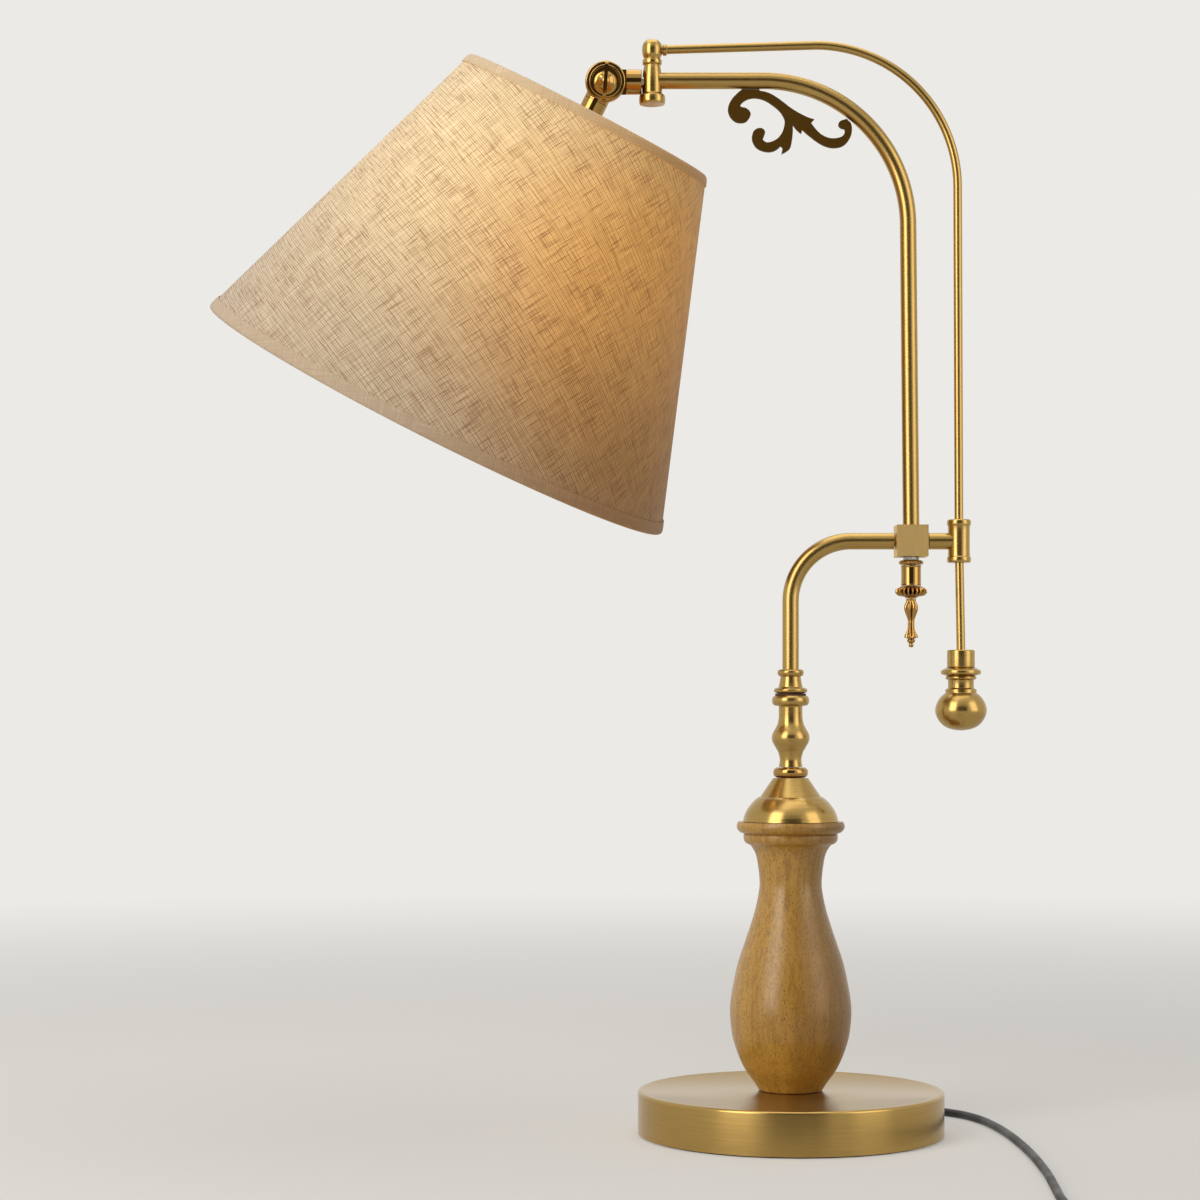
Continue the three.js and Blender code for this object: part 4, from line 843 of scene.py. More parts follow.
@dataclass
class Assembly:
    """A group of pieces that ride on one body and take their finishes from the palette."""

    palette: Palette
    body: ClassVar[Body] = Body.BASE

    def settle(self, piece: Object, slot: Slot, *nodes: str, body: Body | None = None) -> Object:
        """Fix a piece to its body and let it stand for its CAD nodes.

        Args:
            piece: The piece, in place.
            slot: The slot of its finish; not used.
            nodes: The CAD nodes that it stands for.
            body: The body it rides on, where that isn't the group's own.

        Returns:
            The piece.
        """
        rides_on = body or self.body
        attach(piece, rides_on.value)
        if nodes:
            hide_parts(*nodes)
        log.info("%s: rides on %s, stands for %s", piece.name, rides_on.value, ", ".join(nodes) or "nothing")
        return piece

    def make(self, skin: Skin, name: str, slot: Slot, *nodes: str, body: Body | None = None) -> Object:
        """Make a piece from its skin and settle it.

        Args:
            skin: The piece's mesh.
            name: The piece's name.
            slot: The slot of its finish.
            nodes: The CAD nodes that it stands for.
            body: The body it rides on, where that isn't the group's own.

        Returns:
            The piece.
        """
        return self.settle(skin.make(name, self.palette[slot]), slot, *nodes, body=body)

    def turn(
        self,
        name: str,
        slot: Slot,
        node: str,
        outline: Sequence[Point],
        sides: int = 96,
        place: Matrix = Matrix(),
        wave: Wave | None = None,
    ) -> Object:
        """Make a turned piece from its outline and settle it.

        Args:
            name: The piece's name.
            slot: The slot of its finish.
            node: The CAD node that it stands for.
            outline: Points of radius and height, on the axis at both ends or closed.
            sides: Steps of the round.
            place: Where the piece goes.
            wave: Gives a factor on the radius from the turn and the height, for flutes.

        Returns:
            The piece.
        """
        return self.make(Skin().lathe(outline, sides, place, wave), name, slot, node)

    def dress(self, slot: Slot, *nodes: str) -> None:
        """Give CAD nodes that stay as they are a finish.

        Args:
            slot: The slot of the finish.
            nodes: The CAD nodes.
        """
        for name in nodes:
            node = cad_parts[name]
            for place in node.material_slots:
                place.material = self.palette[slot]
            log.info("%s: finished in %s", name, slot.value)


@dataclass
class View:
    """The camera, level and with a long lens, as the photograph has it."""

    place: Place = (-115.5, -1636.0, 252.9)
    lens: float = 81
    film: float = 36
    rise: float = 0.0975
    nearest: float = 0.05
    farthest: float = 50

    def build(self) -> None:
        """Make the camera and use it."""
        data = bpy.data.cameras.new("view")
        data.lens, data.sensor_width, data.shift_y = self.lens, self.film, self.rise
        data.clip_start, data.clip_end = self.nearest, self.farthest
        camera = bpy.data.objects.new("view", data)
        camera.location = Vector(self.place) * MM
        camera.rotation_euler = (math.pi / 2, 0, 0)
        bpy.context.scene.collection.objects.link(camera)
        bpy.context.scene.camera = camera


@dataclass
class MainsLead(Assembly):
    """The mains lead on the table, with its outlet, rocker switch, tie and two-pin plug."""

    radius: float = 2.5
    length: float = 1782
    height: float = 2.6
    outlet: Place = (0, 116.8, 8)
    front: float = -370
    lead: Sequence[Place] = (
        (0, 116.8, 8), (0.1, 121.5, 7.6), (3.5, 133.1, 5.2), (13, 142.6, 3.2), (26.1, 146.1, 2.6),
        (36.7, 143.8, 2.6), (46, 137, 2.6), (62, 120.2, 2.6), (82, 99, 2.6), (103.4, 74.3, 2.6),
        (114.1, 60, 2.6), (123.2, 32.9, 2.6), (129.2, -14.7, 2.6), (131.5, -81.8, 2.6),
        (129.9, -151, 2.6), (126.4, -202.4, 2.6), (124, -236, 2.6), (124.6, -270, 2.6), (128, -305, 2.6),
        (131, -327, 2.6), (131, -344, 2.6), (126.5, -358, 3.3), (117, -367.4, 5), (106.5, -370, 7),
        (98.6, -370, 7.3),
    )
    tail: Sequence[Place] = ((37.4, -370, 7.3), (29, -370, 6.6), (16, -370, 3.6), (6, -370, 2.6), (-4.4, -370, 2.6))
    end: Sequence[Place] = ((-15.4, -370, 8.2), (-22, -370, 8), (-31, -370, 7.2), (-37.7, -370, 6.9))
    coil_x: float = -10
    coil_radius: float = 35.5
    coil_pitch: float = 5.6
    coil_rise: float = 5.6
    layer_turns: float = 2.75
    climb_turns: float = 0.5
    coil_steps: int = 24
    tie_width: float = 8
    tie_thickness: float = 0.8
    gland_y: float = 92.8
    gland_radius: float = 5.5
    gland_flange: float = 1.5
    gland_sleeve: float = 4.3
    gland_tip: float = 3.1
    gland_length: float = 22
    gland_inside: float = 3.9
    gland_ribs: int = 6
    gland_rib: Sequence[Point] = ((0, 0.55), (0.7, 0.6), (0.7, 0.95), (0.15, 1))
    switch_x: float = 68
    switch_length: float = 60
    switch_width: float = 24
    switch_half: float = 7.2
    switch_corner: float = 1.4
    switch_lift: float = 0.1
    clearance: float = 0.3
    rocker_length: float = 15
    rocker_width: float = 9.6
    rocker_height: float = 7
    rocker_corner: float = 0.5
    rocker_axis: float = 11.6
    rocker_turn: float = 7
    rocker_pin: float = 1.2
    rocker_pin_reach: float = 6.2
    window_margin: float = 1.2
    window_corner: float = 0.6
    plug_entry: float = -38
    plug_sleeve: float = 20
    plug_sleeve_radius: float = 4.6
    plug_sleeve_tip: float = 3.3
    plug_sleeve_sunk: float = 2
    plug_ribs: int = 5
    plug_rib: Sequence[Point] = ((0, 0.5), (0.7, 0.6), (0.7, 0.9), (0, 1))
    plug_thickness: float = 13.4
    plug_width: float = 35.3
    plug_neck: float = 13
    plug_taper: float = 11
    plug_flare: float = 1.6
    plug_shoulder: float = 1.4
    plug_blend: float = 2.5
    plug_length: float = 33
    plug_corner: float = 2.6
    pin_radius: float = 2
    pin_tip: float = 0.8
    pin_sunk: float = 8
    pin_length: float = 19
    pin_spacing: float = 18.6

    def coil_line(self) -> list[Vector]:
        """Lay the coil's centre line: inwards below, up within half a turn, and outwards on top.

        Returns:
            The line's points.
        """
        spiral, climb = self.layer_turns * 2 * math.pi, self.climb_turns * 2 * math.pi
        rate = self.coil_pitch / (2 * math.pi)
        inner = self.coil_radius - self.coil_pitch * self.layer_turns
        count = round((2 * self.layer_turns + self.climb_turns) * self.coil_steps)
        line = []
        for i in range(count + 1):
            turn = i / self.coil_steps * 2 * math.pi
            into = min(max(turn - spiral, 0), climb)
            if turn < spiral:
                radius = self.coil_radius - rate * turn
            elif turn > spiral + climb:
                radius = inner + rate * (turn - spiral - climb)
            else:
                radius = inner - rate * into * (climb - into) / climb
            share = into / climb
            lift = share * share * (3 - 2 * share) * self.coil_rise
            way = -math.pi / 2 - turn
            line.append(Vector((
                self.coil_x + radius * math.cos(way),
                self.front + self.coil_radius + radius * math.sin(way),
                self.height + lift,
            )))
        return line

    def build_cord(self, riders: Sequence[str]) -> Object:
        """Lay the cord from the outlet through switch and coil to the plug.

        Args:
            riders: The names of the pieces on it; not used.

        Returns:
            The cord.
        """
        points = [Vector(point) for point in (*self.lead, *self.tail)]
        points += self.coil_line() + [Vector(point) for point in self.end]
        line = smooth_route(points)
        data = bpy.data.curves.new("mains_cord", "CURVE")
        data.dimensions, data.bevel_depth, data.bevel_resolution = "3D", self.radius * MM, 4
        data.use_fill_caps = True
        spline = data.splines.new("POLY")
        spline.points.add(len(line) - 1)
        for place, point in zip(spline.points, line):
            place.co = (*(point * MM), 1)
        spline.use_smooth = True
        data.materials.append(self.palette[Slot.CORD_PLASTIC])
        cord = bpy.data.objects.new("mains_cord", data)
        bpy.context.scene.collection.objects.link(cord)
        self.settle(cord, Slot.CORD_PLASTIC, "cord_lead", "cord_tail", "cord_end", "cord_coil")
        return cord

    @staticmethod
    def ribbed(radii: Sequence[float], foot: float, length: float, rib: Sequence[Point]) -> list[Point]:
        """Give the outline of a ribbed sleeve.

        Args:
            radii: The radius of each rib.
            foot: Where the first rib starts.
            length: The length of them all.
            rib: A rib's corners, each by its depth and its share of the rib's length.

        Returns:
            Points of radius and height.
        """
        step = length / len(radii)
        return [(radius - deep, foot + (i + share) * step) for i, radius in enumerate(radii) for deep, share in rib]

    def build_gland(self) -> Object:
        """Make the ribbed strain relief at the base's wall.

        Returns:
            The strain relief.
        """
        thinner = (self.gland_tip - self.gland_sleeve) / self.gland_ribs
        radii = [self.gland_sleeve + thinner * i for i in range(self.gland_ribs)]
        outline = [
            (0.0, -self.gland_inside), (self.gland_radius, -self.gland_inside),
            (self.gland_radius, self.gland_flange), (self.gland_sleeve, self.gland_flange),
            *self.ribbed(radii, self.gland_flange, self.gland_length, self.gland_rib),
            (0.0, self.gland_flange + self.gland_length),
        ]
        place = shift(0, self.gland_y, self.outlet[2]) @ spin("X", -90)
        return self.turn("cord_outlet", Slot.CORD_PLASTIC, "cord_gland", outline, 48, place)

    def switch_outline(self) -> list[Point]:
        """Draw the outline of the switch's housing.

        Returns:
            Points of x and y, about the housing's middle.
        """
        x, y = self.switch_length / 2, self.switch_width / 2
        upper = [(x, 0.42 * y), (x - y / 3, 0.92 * y), (x - y, y)]
        right = smooth_line([*((a, -b) for a, b in upper[::-1]), *upper], corner=90)
        return [*right, *((-a, -b) for a, b in right)]

    def build_switch(self) -> list[Object]:
        """Make the two halves of the switch and its rocker.

        Returns:
            The lower half, the upper half and the rocker.
        """
        floor = self.switch_lift + self.switch_half / 2
        roof = floor + self.switch_half + self.clearance
        pieces = []
        for name, node, z in (("switch_lower_half", "switch_base", floor), ("switch_upper_half", "switch_cover", roof)):
            place = shift(self.switch_x, self.front, z)
            skin = Skin().plate(self.switch_outline(), self.switch_half, self.switch_corner, place)
            piece = skin.make(name, self.palette[Slot.CORD_PLASTIC])
            if z == roof:
                x, y = self.rocker_length / 2 + self.window_margin, (self.rocker_width + self.window_margin) / 2
                window = [(-x, -y), (x, -y), (x, y), (-x, y)]
                cutter = Skin().plate(window, 4 * self.switch_half, self.window_corner, place)
                cut_out(piece, cutter.make("window", self.palette[Slot.CORD_PLASTIC]))
            pieces.append(self.settle(piece, Slot.CORD_PLASTIC, node))
        return [*pieces, self.build_rocker(roof + self.switch_half / 2)]

    def build_rocker(self, roof: float) -> Object:
        """Make the rocker, pressed down at one end.

        Args:
            roof: Height of the housing's top.

        Returns:
            The rocker.
        """
        rise = math.tan(math.radians(self.rocker_turn)) * self.rocker_length / 2
        x, foot, top = self.rocker_length / 2, self.rocker_length / 4, roof - self.rocker_axis + rise
        side = [
            (-foot, top - self.rocker_height), (foot, top - self.rocker_height), (x, top - self.rocker_height / 2),
            *((x * share / 4, top - rise / 2 + rise * (share / 4) ** 2) for share in range(4, -5, -1)),
            (-x, top - self.rocker_height / 2),
        ]
        place = shift(self.switch_x, self.front, self.rocker_axis) @ spin("Y", self.rocker_turn) @ spin("X", 90)
        skin = Skin().plate(side, self.rocker_width, self.rocker_corner, place)
        pin = [(0, -self.rocker_pin_reach), (self.rocker_pin, -self.rocker_pin_reach)]
        skin.lathe([*pin, *((r, -z) for r, z in pin[::-1])], sides=24, place=place)
        return self.make(skin, "rocker", Slot.ROCKER_RED, "switch_rocker", body=Body.ROCKER)

    def plug_outline(self) -> list[Point]:
        """Draw the outline of the plug's body.

        Returns:
            Points of x and y, from the middle of the end where the cord goes in.
        """
        neck, wide, corner = self.plug_neck / 2, self.plug_width / 2, self.plug_width / 8
        taper = self.plug_taper
        half = smooth_line([
            (0, neck), (-0.45 * taper, neck + self.plug_flare), (-taper, wide - self.plug_shoulder),
            (-taper - self.plug_blend, wide),
        ], corner=90)
        turn = [(corner, wide), (corner / 4, wide - corner / 4), (0, wide - corner)]
        half += smooth_line([(x - self.plug_length, y) for x, y in turn], corner=90)
        return [*half, *((x, -y) for x, y in half[::-1])]

    def build_plug(self) -> list[Object]:
        """Make the plug's moulded body and its two pins.

        Returns:
            The body and the pins.
        """
        place = shift(self.plug_entry - self.plug_sleeve, self.front, self.switch_lift + self.plug_thickness / 2)
        skin = Skin().plate(self.plug_outline(), self.plug_thickness, self.plug_corner, place)
        thinner = (self.plug_sleeve_tip - self.plug_sleeve_radius) / self.plug_ribs
        radii = [self.plug_sleeve_radius + thinner * (i + 1) for i in range(self.plug_ribs)]
        sleeve = [
            (0.0, -self.plug_sleeve_sunk), (self.plug_sleeve_radius, -self.plug_sleeve_sunk),
            (self.plug_sleeve_radius, 0), *self.ribbed(radii, 0, self.plug_sleeve, self.plug_rib),
            (0.0, self.plug_sleeve),
        ]
        skin.lathe(sleeve, sides=40, place=place @ spin("Y", 90))
        pieces = [self.make(skin, "plug", Slot.CORD_PLASTIC, "plug_body")]
        reach, tip = self.pin_length + self.pin_sunk, self.pin_tip
        outline = [
            (0.0, 0.0), (0.5 * self.pin_radius, 0), *arc((0.6 * self.pin_radius, tip), tip, -90, 0, 4),
            (self.pin_radius, 1.75 * tip), (self.pin_radius, reach), (0.0, reach),
        ]
        for name, node, side in (("plug_pin_back", "plug_pin_rear", 1), ("plug_pin_fore", "plug_pin_front", -1)):
            spot = place @ shift(-self.plug_length - self.pin_length, side * self.pin_spacing / 2) @ spin("Y", 90)
            pieces.append(self.turn(name, Slot.NICKEL, node, outline, 36, spot))
        return pieces

    def build_tie(self) -> Object:
        """Make the band that holds the coil.

        Returns:
            The band.
        """
        centre = self.front + self.coil_radius
        inner = self.coil_radius - self.coil_pitch * self.layer_turns - self.radius - self.tie_thickness
        outer = self.coil_radius + self.radius + self.tie_thickness / 2
        low, high = self.tie_thickness, self.height + self.coil_rise + self.radius + self.tie_thickness / 2
        corner = (high - low) / 3
        loop: list[Point] = []
        for y, z, start in (
            (outer - corner, low + corner, -90), (outer - corner, high - corner, 0),
            (inner + corner, high - corner, 90), (inner + corner, low + corner, 180),
        ):
            loop += arc((y, z), corner, start, start + 90, 6)
        middle = Vector(((inner + outer) / 2, (low + high) / 2))
        rows = []
        for x, out in ((-1, -1), (1, -1), (1, 1), (-1, 1), (-1, -1)):
            row = []
            for y, z in loop:
                away = (Vector((y, z)) - middle).normalized() * out * self.tie_thickness / 2
                row.append(Vector((self.coil_x + x * self.tie_width / 2, centre + y + away.x, z + away.y)))
            rows.append(row)
        skin = Skin()
        skin.grid(rows)
        return self.make(skin, "coil_tie", Slot.CORD_PLASTIC)

    def build(self) -> None:
        """Make the whole lead, the cord last, once the pieces on it are there."""
        pieces = [self.build_gland(), *self.build_switch(), *self.build_plug(), self.build_tie()]
        self.build_cord([piece.name for piece in pieces])


@dataclass
class RoundBase(Assembly):
    """The round foot: a spun brass cover over an iron weight, on a felt pad."""

    radius: float = 92.5
    height: float = 27
    wall: float = 1.5
    edge: float = 1.6
    lift: float = 1
    hole: float = 5.3
    foot: float = 2
    rim: float = 4
    rim_slope: float = 0.4
    sunk: float = 0.15
    flat: float = 31

    def build(self) -> None:
        """Make the cover and dress what lies under it."""
        corner = arc((self.radius - self.edge, self.height - self.edge), self.edge, 0, 90, 6)
        inner, ceiling = self.radius - self.wall, self.height - self.wall
        rim, top = self.radius - self.rim, self.height - self.sunk
        outline = [
            (self.radius, self.lift), (self.radius, self.lift + self.foot), *corner, (rim, self.height),
            (rim - self.rim_slope, top), (self.hole + self.flat, top), (self.hole, top), (self.hole, ceiling),
            (inner, ceiling), (inner, self.lift), (self.radius, self.lift),
        ]
        self.turn("base_shell", Slot.SATIN_BRASS, "base_cover", outline, 160)
        self.dress(Slot.CAST_IRON, "base_weight")
        self.dress(Slot.FELT, "base_pad")
        self.dress(Slot.ZINC, "base_washer", "base_nut", "threaded_tube")


@dataclass
class Stem(Assembly):
    """The turned wooden body with its brass dome, bead and baluster."""

    thread_hole: float = 5.5
    journal: float = 4.9
    wood_bottom: float = 27.3
    dome_bottom: float = 189.7
    bead_bottom: float = 216.2
    baluster_bottom: float = 222.7
    washer_radius: float = 9.4
    washer_bottom: float = 265.75
    washer_top: float = 267.1
    washer_edge: float = 0.4
    wood: Turning = Turning(36.7, 162.1, (
        (0.523, 0), (0.602, 0.028), (0.744, 0.073), (0.842, 0.117), (0.916, 0.162), (0.967, 0.207),
        (1, 0.285), (0.984, 0.342), (0.932, 0.409), (0.866, 0.476), (0.768, 0.543), (0.668, 0.61),
        (0.578, 0.678), (0.52, 0.745), (0.512, 0.779), (0.537, 0.835), (0.578, 0.88), (0.66, 0.912),
        (0.735, 0.921), (0.77, 0.932), (0.776, 0.951), (0.762, 0.956), (0.835, 0.962), (0.878, 0.973),
        (0.891, 0.986), (0.868, 1),
    ))
    dome: Turning = Turning(28.9, 26.2, (
        (1, 0), (0.98, 0.1), (0.927, 0.25), (0.83, 0.4), (0.744, 0.5), (0.671, 0.56), (0.64, 0.565), (0.37, 1),
    ))
    dome_hollow: Sequence[Point] = ((0.955, 0), (0.9, 0.2), (0.76, 0.42), (0.6, 0.54), (0.42, 0.78), (0.3, 0.93))
    bead: Turning = Turning(10.6, 6.2, ((0.82, 0), (0.96, 0.2), (1, 0.5), (0.96, 0.8), (0.82, 1)))
    baluster: Turning = Turning(11.5, 43, (
        (0.626, 0), (0.574, 0.095), (0.65, 0.2), (0.765, 0.258), (0.89, 0.316), (0.968, 0.36), (1, 0.405),
        (0.978, 0.45), (0.905, 0.497), (0.8, 0.545), (0.705, 0.597), (0.65, 0.655), (0.626, 0.72),
        (0.626, 0.855), (0.87, 0.868), (0.97, 0.905), (0.97, 0.965), (0.88, 1),
    ))

    def build(self) -> None:
        """Make wood and brass from the foot up."""
        wood = self.wood.outline(self.wood_bottom, self.thread_hole)
        self.turn("turned_body", Slot.TURNED_WOOD, "wood_body", wood, 144)
        wide, tall = self.dome.radius, self.dome.height
        line = smooth_line([(r * wide, z * tall) for r, z in self.dome.shares])
        hollow = [(r * wide, z * tall) for r, z in self.dome_hollow[::-1]]
        outline = [*line, (self.thread_hole, tall), (self.thread_hole, hollow[0][1]), *smooth_line(hollow), line[0]]
        dome = [(r, self.dome_bottom + z) for r, z in outline]
        self.turn("spun_dome", Slot.SATIN_BRASS, "dome_cap", dome, 128)
        bead = self.bead.outline(self.bead_bottom, self.thread_hole)
        self.turn("small_bead", Slot.POLISHED_BRASS, "stem_bead", bead)
        baluster = self.baluster.outline(self.baluster_bottom, self.journal)
        self.turn("turned_baluster", Slot.SATIN_BRASS, "baluster", baluster)
        self.dress(Slot.ZINC, "swivel_screw")
        edge, rim = self.washer_edge, self.washer_radius - self.washer_edge
        washer = [
            (self.journal, self.washer_bottom), *arc((rim, self.washer_bottom + edge), edge, -90, 0, 4),
            *arc((rim, self.washer_top - edge), edge, 0, 90, 4), (self.journal, self.washer_top),
            (self.journal, self.washer_bottom),
        ]
        self.turn("fibre_washer", Slot.FIBRE, "swivel_washer", washer)


@dataclass
class Arm(Assembly):
    """The swinging arm: swivel collar, two bent tubes, cross block, guide sleeve and head post."""

    body: ClassVar[Body] = Body.ARM
    tube_radius: float = 5
    hole: float = 4.7
    collar_bottom: float = 267.2
    collar_web: float = 0.3
    level: float = 359.4
    lower_bend: float = 36.5
    cube_x: float = 73
    cube_size: float = 19
    cube_edge: float = 0.5
    neck_gap: float = 1
    neck_length: float = 11
    neck_radius: float = 3.2
    neck_root: float = 2.8
    thread_pitch: float = 1.2
    sleeve_x: float = 102
    rod_hole: float = 3.1
    high: float = 638.4
    upper_x: float = 71.2
    upper_bend: float = 88
    tube_seat: float = 6
    post_x: float = -83.9
    post_bottom: float = 624.1
    tube_end: float = 4
    collar: Turning = Turning(10.3, 14.5, (
        (0.777, 0), (0.95, 0.04), (1, 0.12), (0.95, 0.2), (0.72, 0.25), (0.65, 0.45), (0.592, 0.7),
        (0.7, 0.74), (0.775, 0.84), (0.76, 0.94), (0.66, 1),
    ))
    sleeve: Turning = Turning(7.15, 26, (
        (0.93, 0), (1, 0.03), (1, 0.12), (0.93, 0.15), (0.93, 0.85), (1, 0.88), (1, 0.97), (0.93, 1),
    ))
    post: Turning = Turning(7.9, 39.4, (
        (0.95, 0), (1, 0.03), (1, 0.11), (0.95, 0.135), (0.772, 0.163), (0.772, 0.3), (0.747, 0.41),
        (0.658, 0.562), (0.62, 0.595), (0.747, 0.615), (0.747, 0.675), (0.608, 0.7), (0.72, 0.75),
        (0.772, 0.81), (0.772, 0.87), (0.68, 0.935), (0.42, 0.985), (0, 1),
    ))

    def thread_outline(self) -> list[Point]:
        """Draw the outline of a threaded neck, which lies half in the block and half in its tube.

        Returns:
            Points of radius and height.
        """
        reach, turns = self.neck_length / 2, round(self.neck_length / self.thread_pitch)
        outline = [(0.0, -reach)]
        for i in range(turns):
            foot = -reach + i * self.neck_length / turns
            outline += [(self.neck_root, foot), (self.neck_radius, foot + 0.4 * self.neck_length / turns)]
            outline.append((self.neck_radius, foot + 0.6 * self.neck_length / turns))
        return [*outline, (self.neck_root, reach), (0.0, reach)]

    def tubes(self) -> dict[str, list[Vector]]:
        """Lay the centre lines of the two bent tubes.

        Returns:
            Each tube's line, by its CAD node.
        """
        foot = self.collar_bottom + self.collar_web * self.collar.height
        start = self.cube_x - self.cube_size / 2 - self.neck_gap
        turn = arc((self.lower_bend, self.level - self.lower_bend), self.lower_bend, 180, 90, 32)
        lower = in_arm_plane([(0, foot), *turn, (start, self.level)])
        top = self.level + self.cube_size / 2
        bend = (self.upper_x - self.upper_bend, self.high - self.upper_bend)
        rise = [(self.cube_x, top - self.tube_seat), (self.cube_x, top), *arc(bend, self.upper_bend, 0, 90, 64)]
        upper = in_arm_plane([*rise, (self.post_x + self.tube_end, self.high)])
        return {"lower_tube": lower, "upper_tube": upper}

    def build(self) -> None:
        """Make the arm from the swivel to the head post."""
        collar = self.collar.outline(self.collar_bottom, self.hole)
        self.turn("swivel_ring", Slot.SATIN_BRASS, "swivel_collar", collar)
        self.dress(Slot.ZINC, "swivel_spindle", "finial_nipple")
        for node, side in (("lower_nipple", -1), ("stub_nipple", 1)):
            middle = self.cube_x + side * (self.cube_size + self.neck_gap) / 2
            place = shift(middle, 0, self.level) @ spin("Y", 90)
            self.turn(f"threaded_{node}", Slot.SATIN_BRASS, node, self.thread_outline(), 40, place)
        for node, line in self.tubes().items():
            self.make(Skin().sweep(line, self.tube_radius, sides=40), f"bent_{node}", Slot.SATIN_BRASS, node)
        half = self.cube_size / 2
        square = [(-half, -half), (half, -half), (half, half), (-half, half)]
        place = shift(self.cube_x, 0, self.level) @ spin("X", 90) @ spin("Z", 90)
        block = Skin().plate(square, self.cube_size, self.cube_edge, place)
        self.make(block, "cross_block", Slot.BRUSHED_BRASS, "cube_block")
        ends = [(self.cube_x + half + self.neck_gap, self.level), (self.sleeve_x - self.sleeve.radius / 2, self.level)]
        self.make(Skin().sweep(in_arm_plane(ends), self.tube_radius), "stub", Slot.SATIN_BRASS, "sleeve_stub")
        sleeve = self.sleeve.outline(self.level - self.sleeve.height / 2, self.rod_hole)
        self.turn("rod_guide", Slot.SATIN_BRASS, "guide_sleeve", sleeve, place=shift(self.sleeve_x))
        post = self.post.outline(self.post_bottom)
        self.turn("arm_end_post", Slot.SATIN_BRASS, "head_post", post, place=shift(self.post_x))


@dataclass
class CounterRod(Assembly):
    """The thin rod beside the tube, with its loose collar and pear-shaped weight."""

    body: ClassVar[Body] = Body.ARM
    radius: float = 2.65
    post_x: float = Arm.post_x
    start: float = 657
    high: float = 659.9
    bend: float = 86
    bend_x: float = 101.2
    sleeve_x: float = Arm.sleeve_x
    level: float = Arm.level
    weight_x: float = 103.2
    weight_top: float = 293.5
    ferrule_radius: float = 3.5
    ferrule_length: float = 2.6
    ferrule_reach: float = 6.3
    ferrule_edge: float = 0.5
    hole: float = 3
    gap: float = 0.05
    collar: Turning = Turning(8.4, 10.55, ((0.96, 0), (1, 0.03), (1, 0.95), (0.93, 1)))
    weight: Turning = Turning(15.6, 38.2, (
        (0, 0), (0.35, 0.018), (0.65, 0.07), (0.88, 0.17), (1, 0.305), (0.93, 0.44), (0.78, 0.535), (0.6, 0.6),
        (0.61, 0.65), (0.5, 0.675), (0.5, 0.8), (0.6, 0.82), (0.6, 0.85), (0.53, 0.865), (0.776, 0.895),
        (0.776, 0.95), (0.55, 1),
    ))

    def build(self) -> None:
        """Make the rod, the collar and the weight."""
        bottom = self.weight_top - self.collar.height - self.gap - self.weight.height
        centre = (self.bend_x - self.bend, self.high - self.bend)
        line = [(self.post_x, self.start), *arc(centre, self.bend, 90, 0, 64), (self.sleeve_x, self.level)]
        line += [(self.weight_x, self.weight_top), (self.weight_x, bottom + 0.7 * self.weight.height)]
        skin = Skin().sweep(in_arm_plane(line), self.radius)
        foot = self.post_x + self.ferrule_reach
        ferrule = in_arm_plane([(foot, self.start), (foot + self.ferrule_length, self.start)])
        skin.sweep(ferrule, self.ferrule_radius, edge=self.ferrule_edge)
        self.make(skin, "weight_rod", Slot.SATIN_BRASS, "counter_rod")
        place = shift(self.weight_x)
        collar = self.collar.outline(self.weight_top - self.collar.height, self.hole)
        self.turn("loose_collar", Slot.SATIN_BRASS, "weight_collar", collar, place=place)
        self.turn("pear_weight", Slot.SATIN_BRASS, "counterweight", self.weight.outline(bottom), place=place)


@dataclass(frozen=True)
class Flutes:
    """Flutes cast round a piece: how many, how deep on its radius, and between which shares of its height."""

    count: int
    depth: float
    low: float
    high: float = 1

    def factor(self, turn: float, share: float) -> float:
        """Give the factor on the radius at one spot.

        Args:
            turn: How far round it lies, in radians.
            share: How high it lies, as a share of the piece's height.

        Returns:
            The factor.
        """
        along = min(max((share - self.low) / (self.high - self.low), 0), 1)
        return 1 - self.depth * math.sin(math.pi * along) ** 0.5 * (1 - abs(math.cos(self.count * turn / 2)))


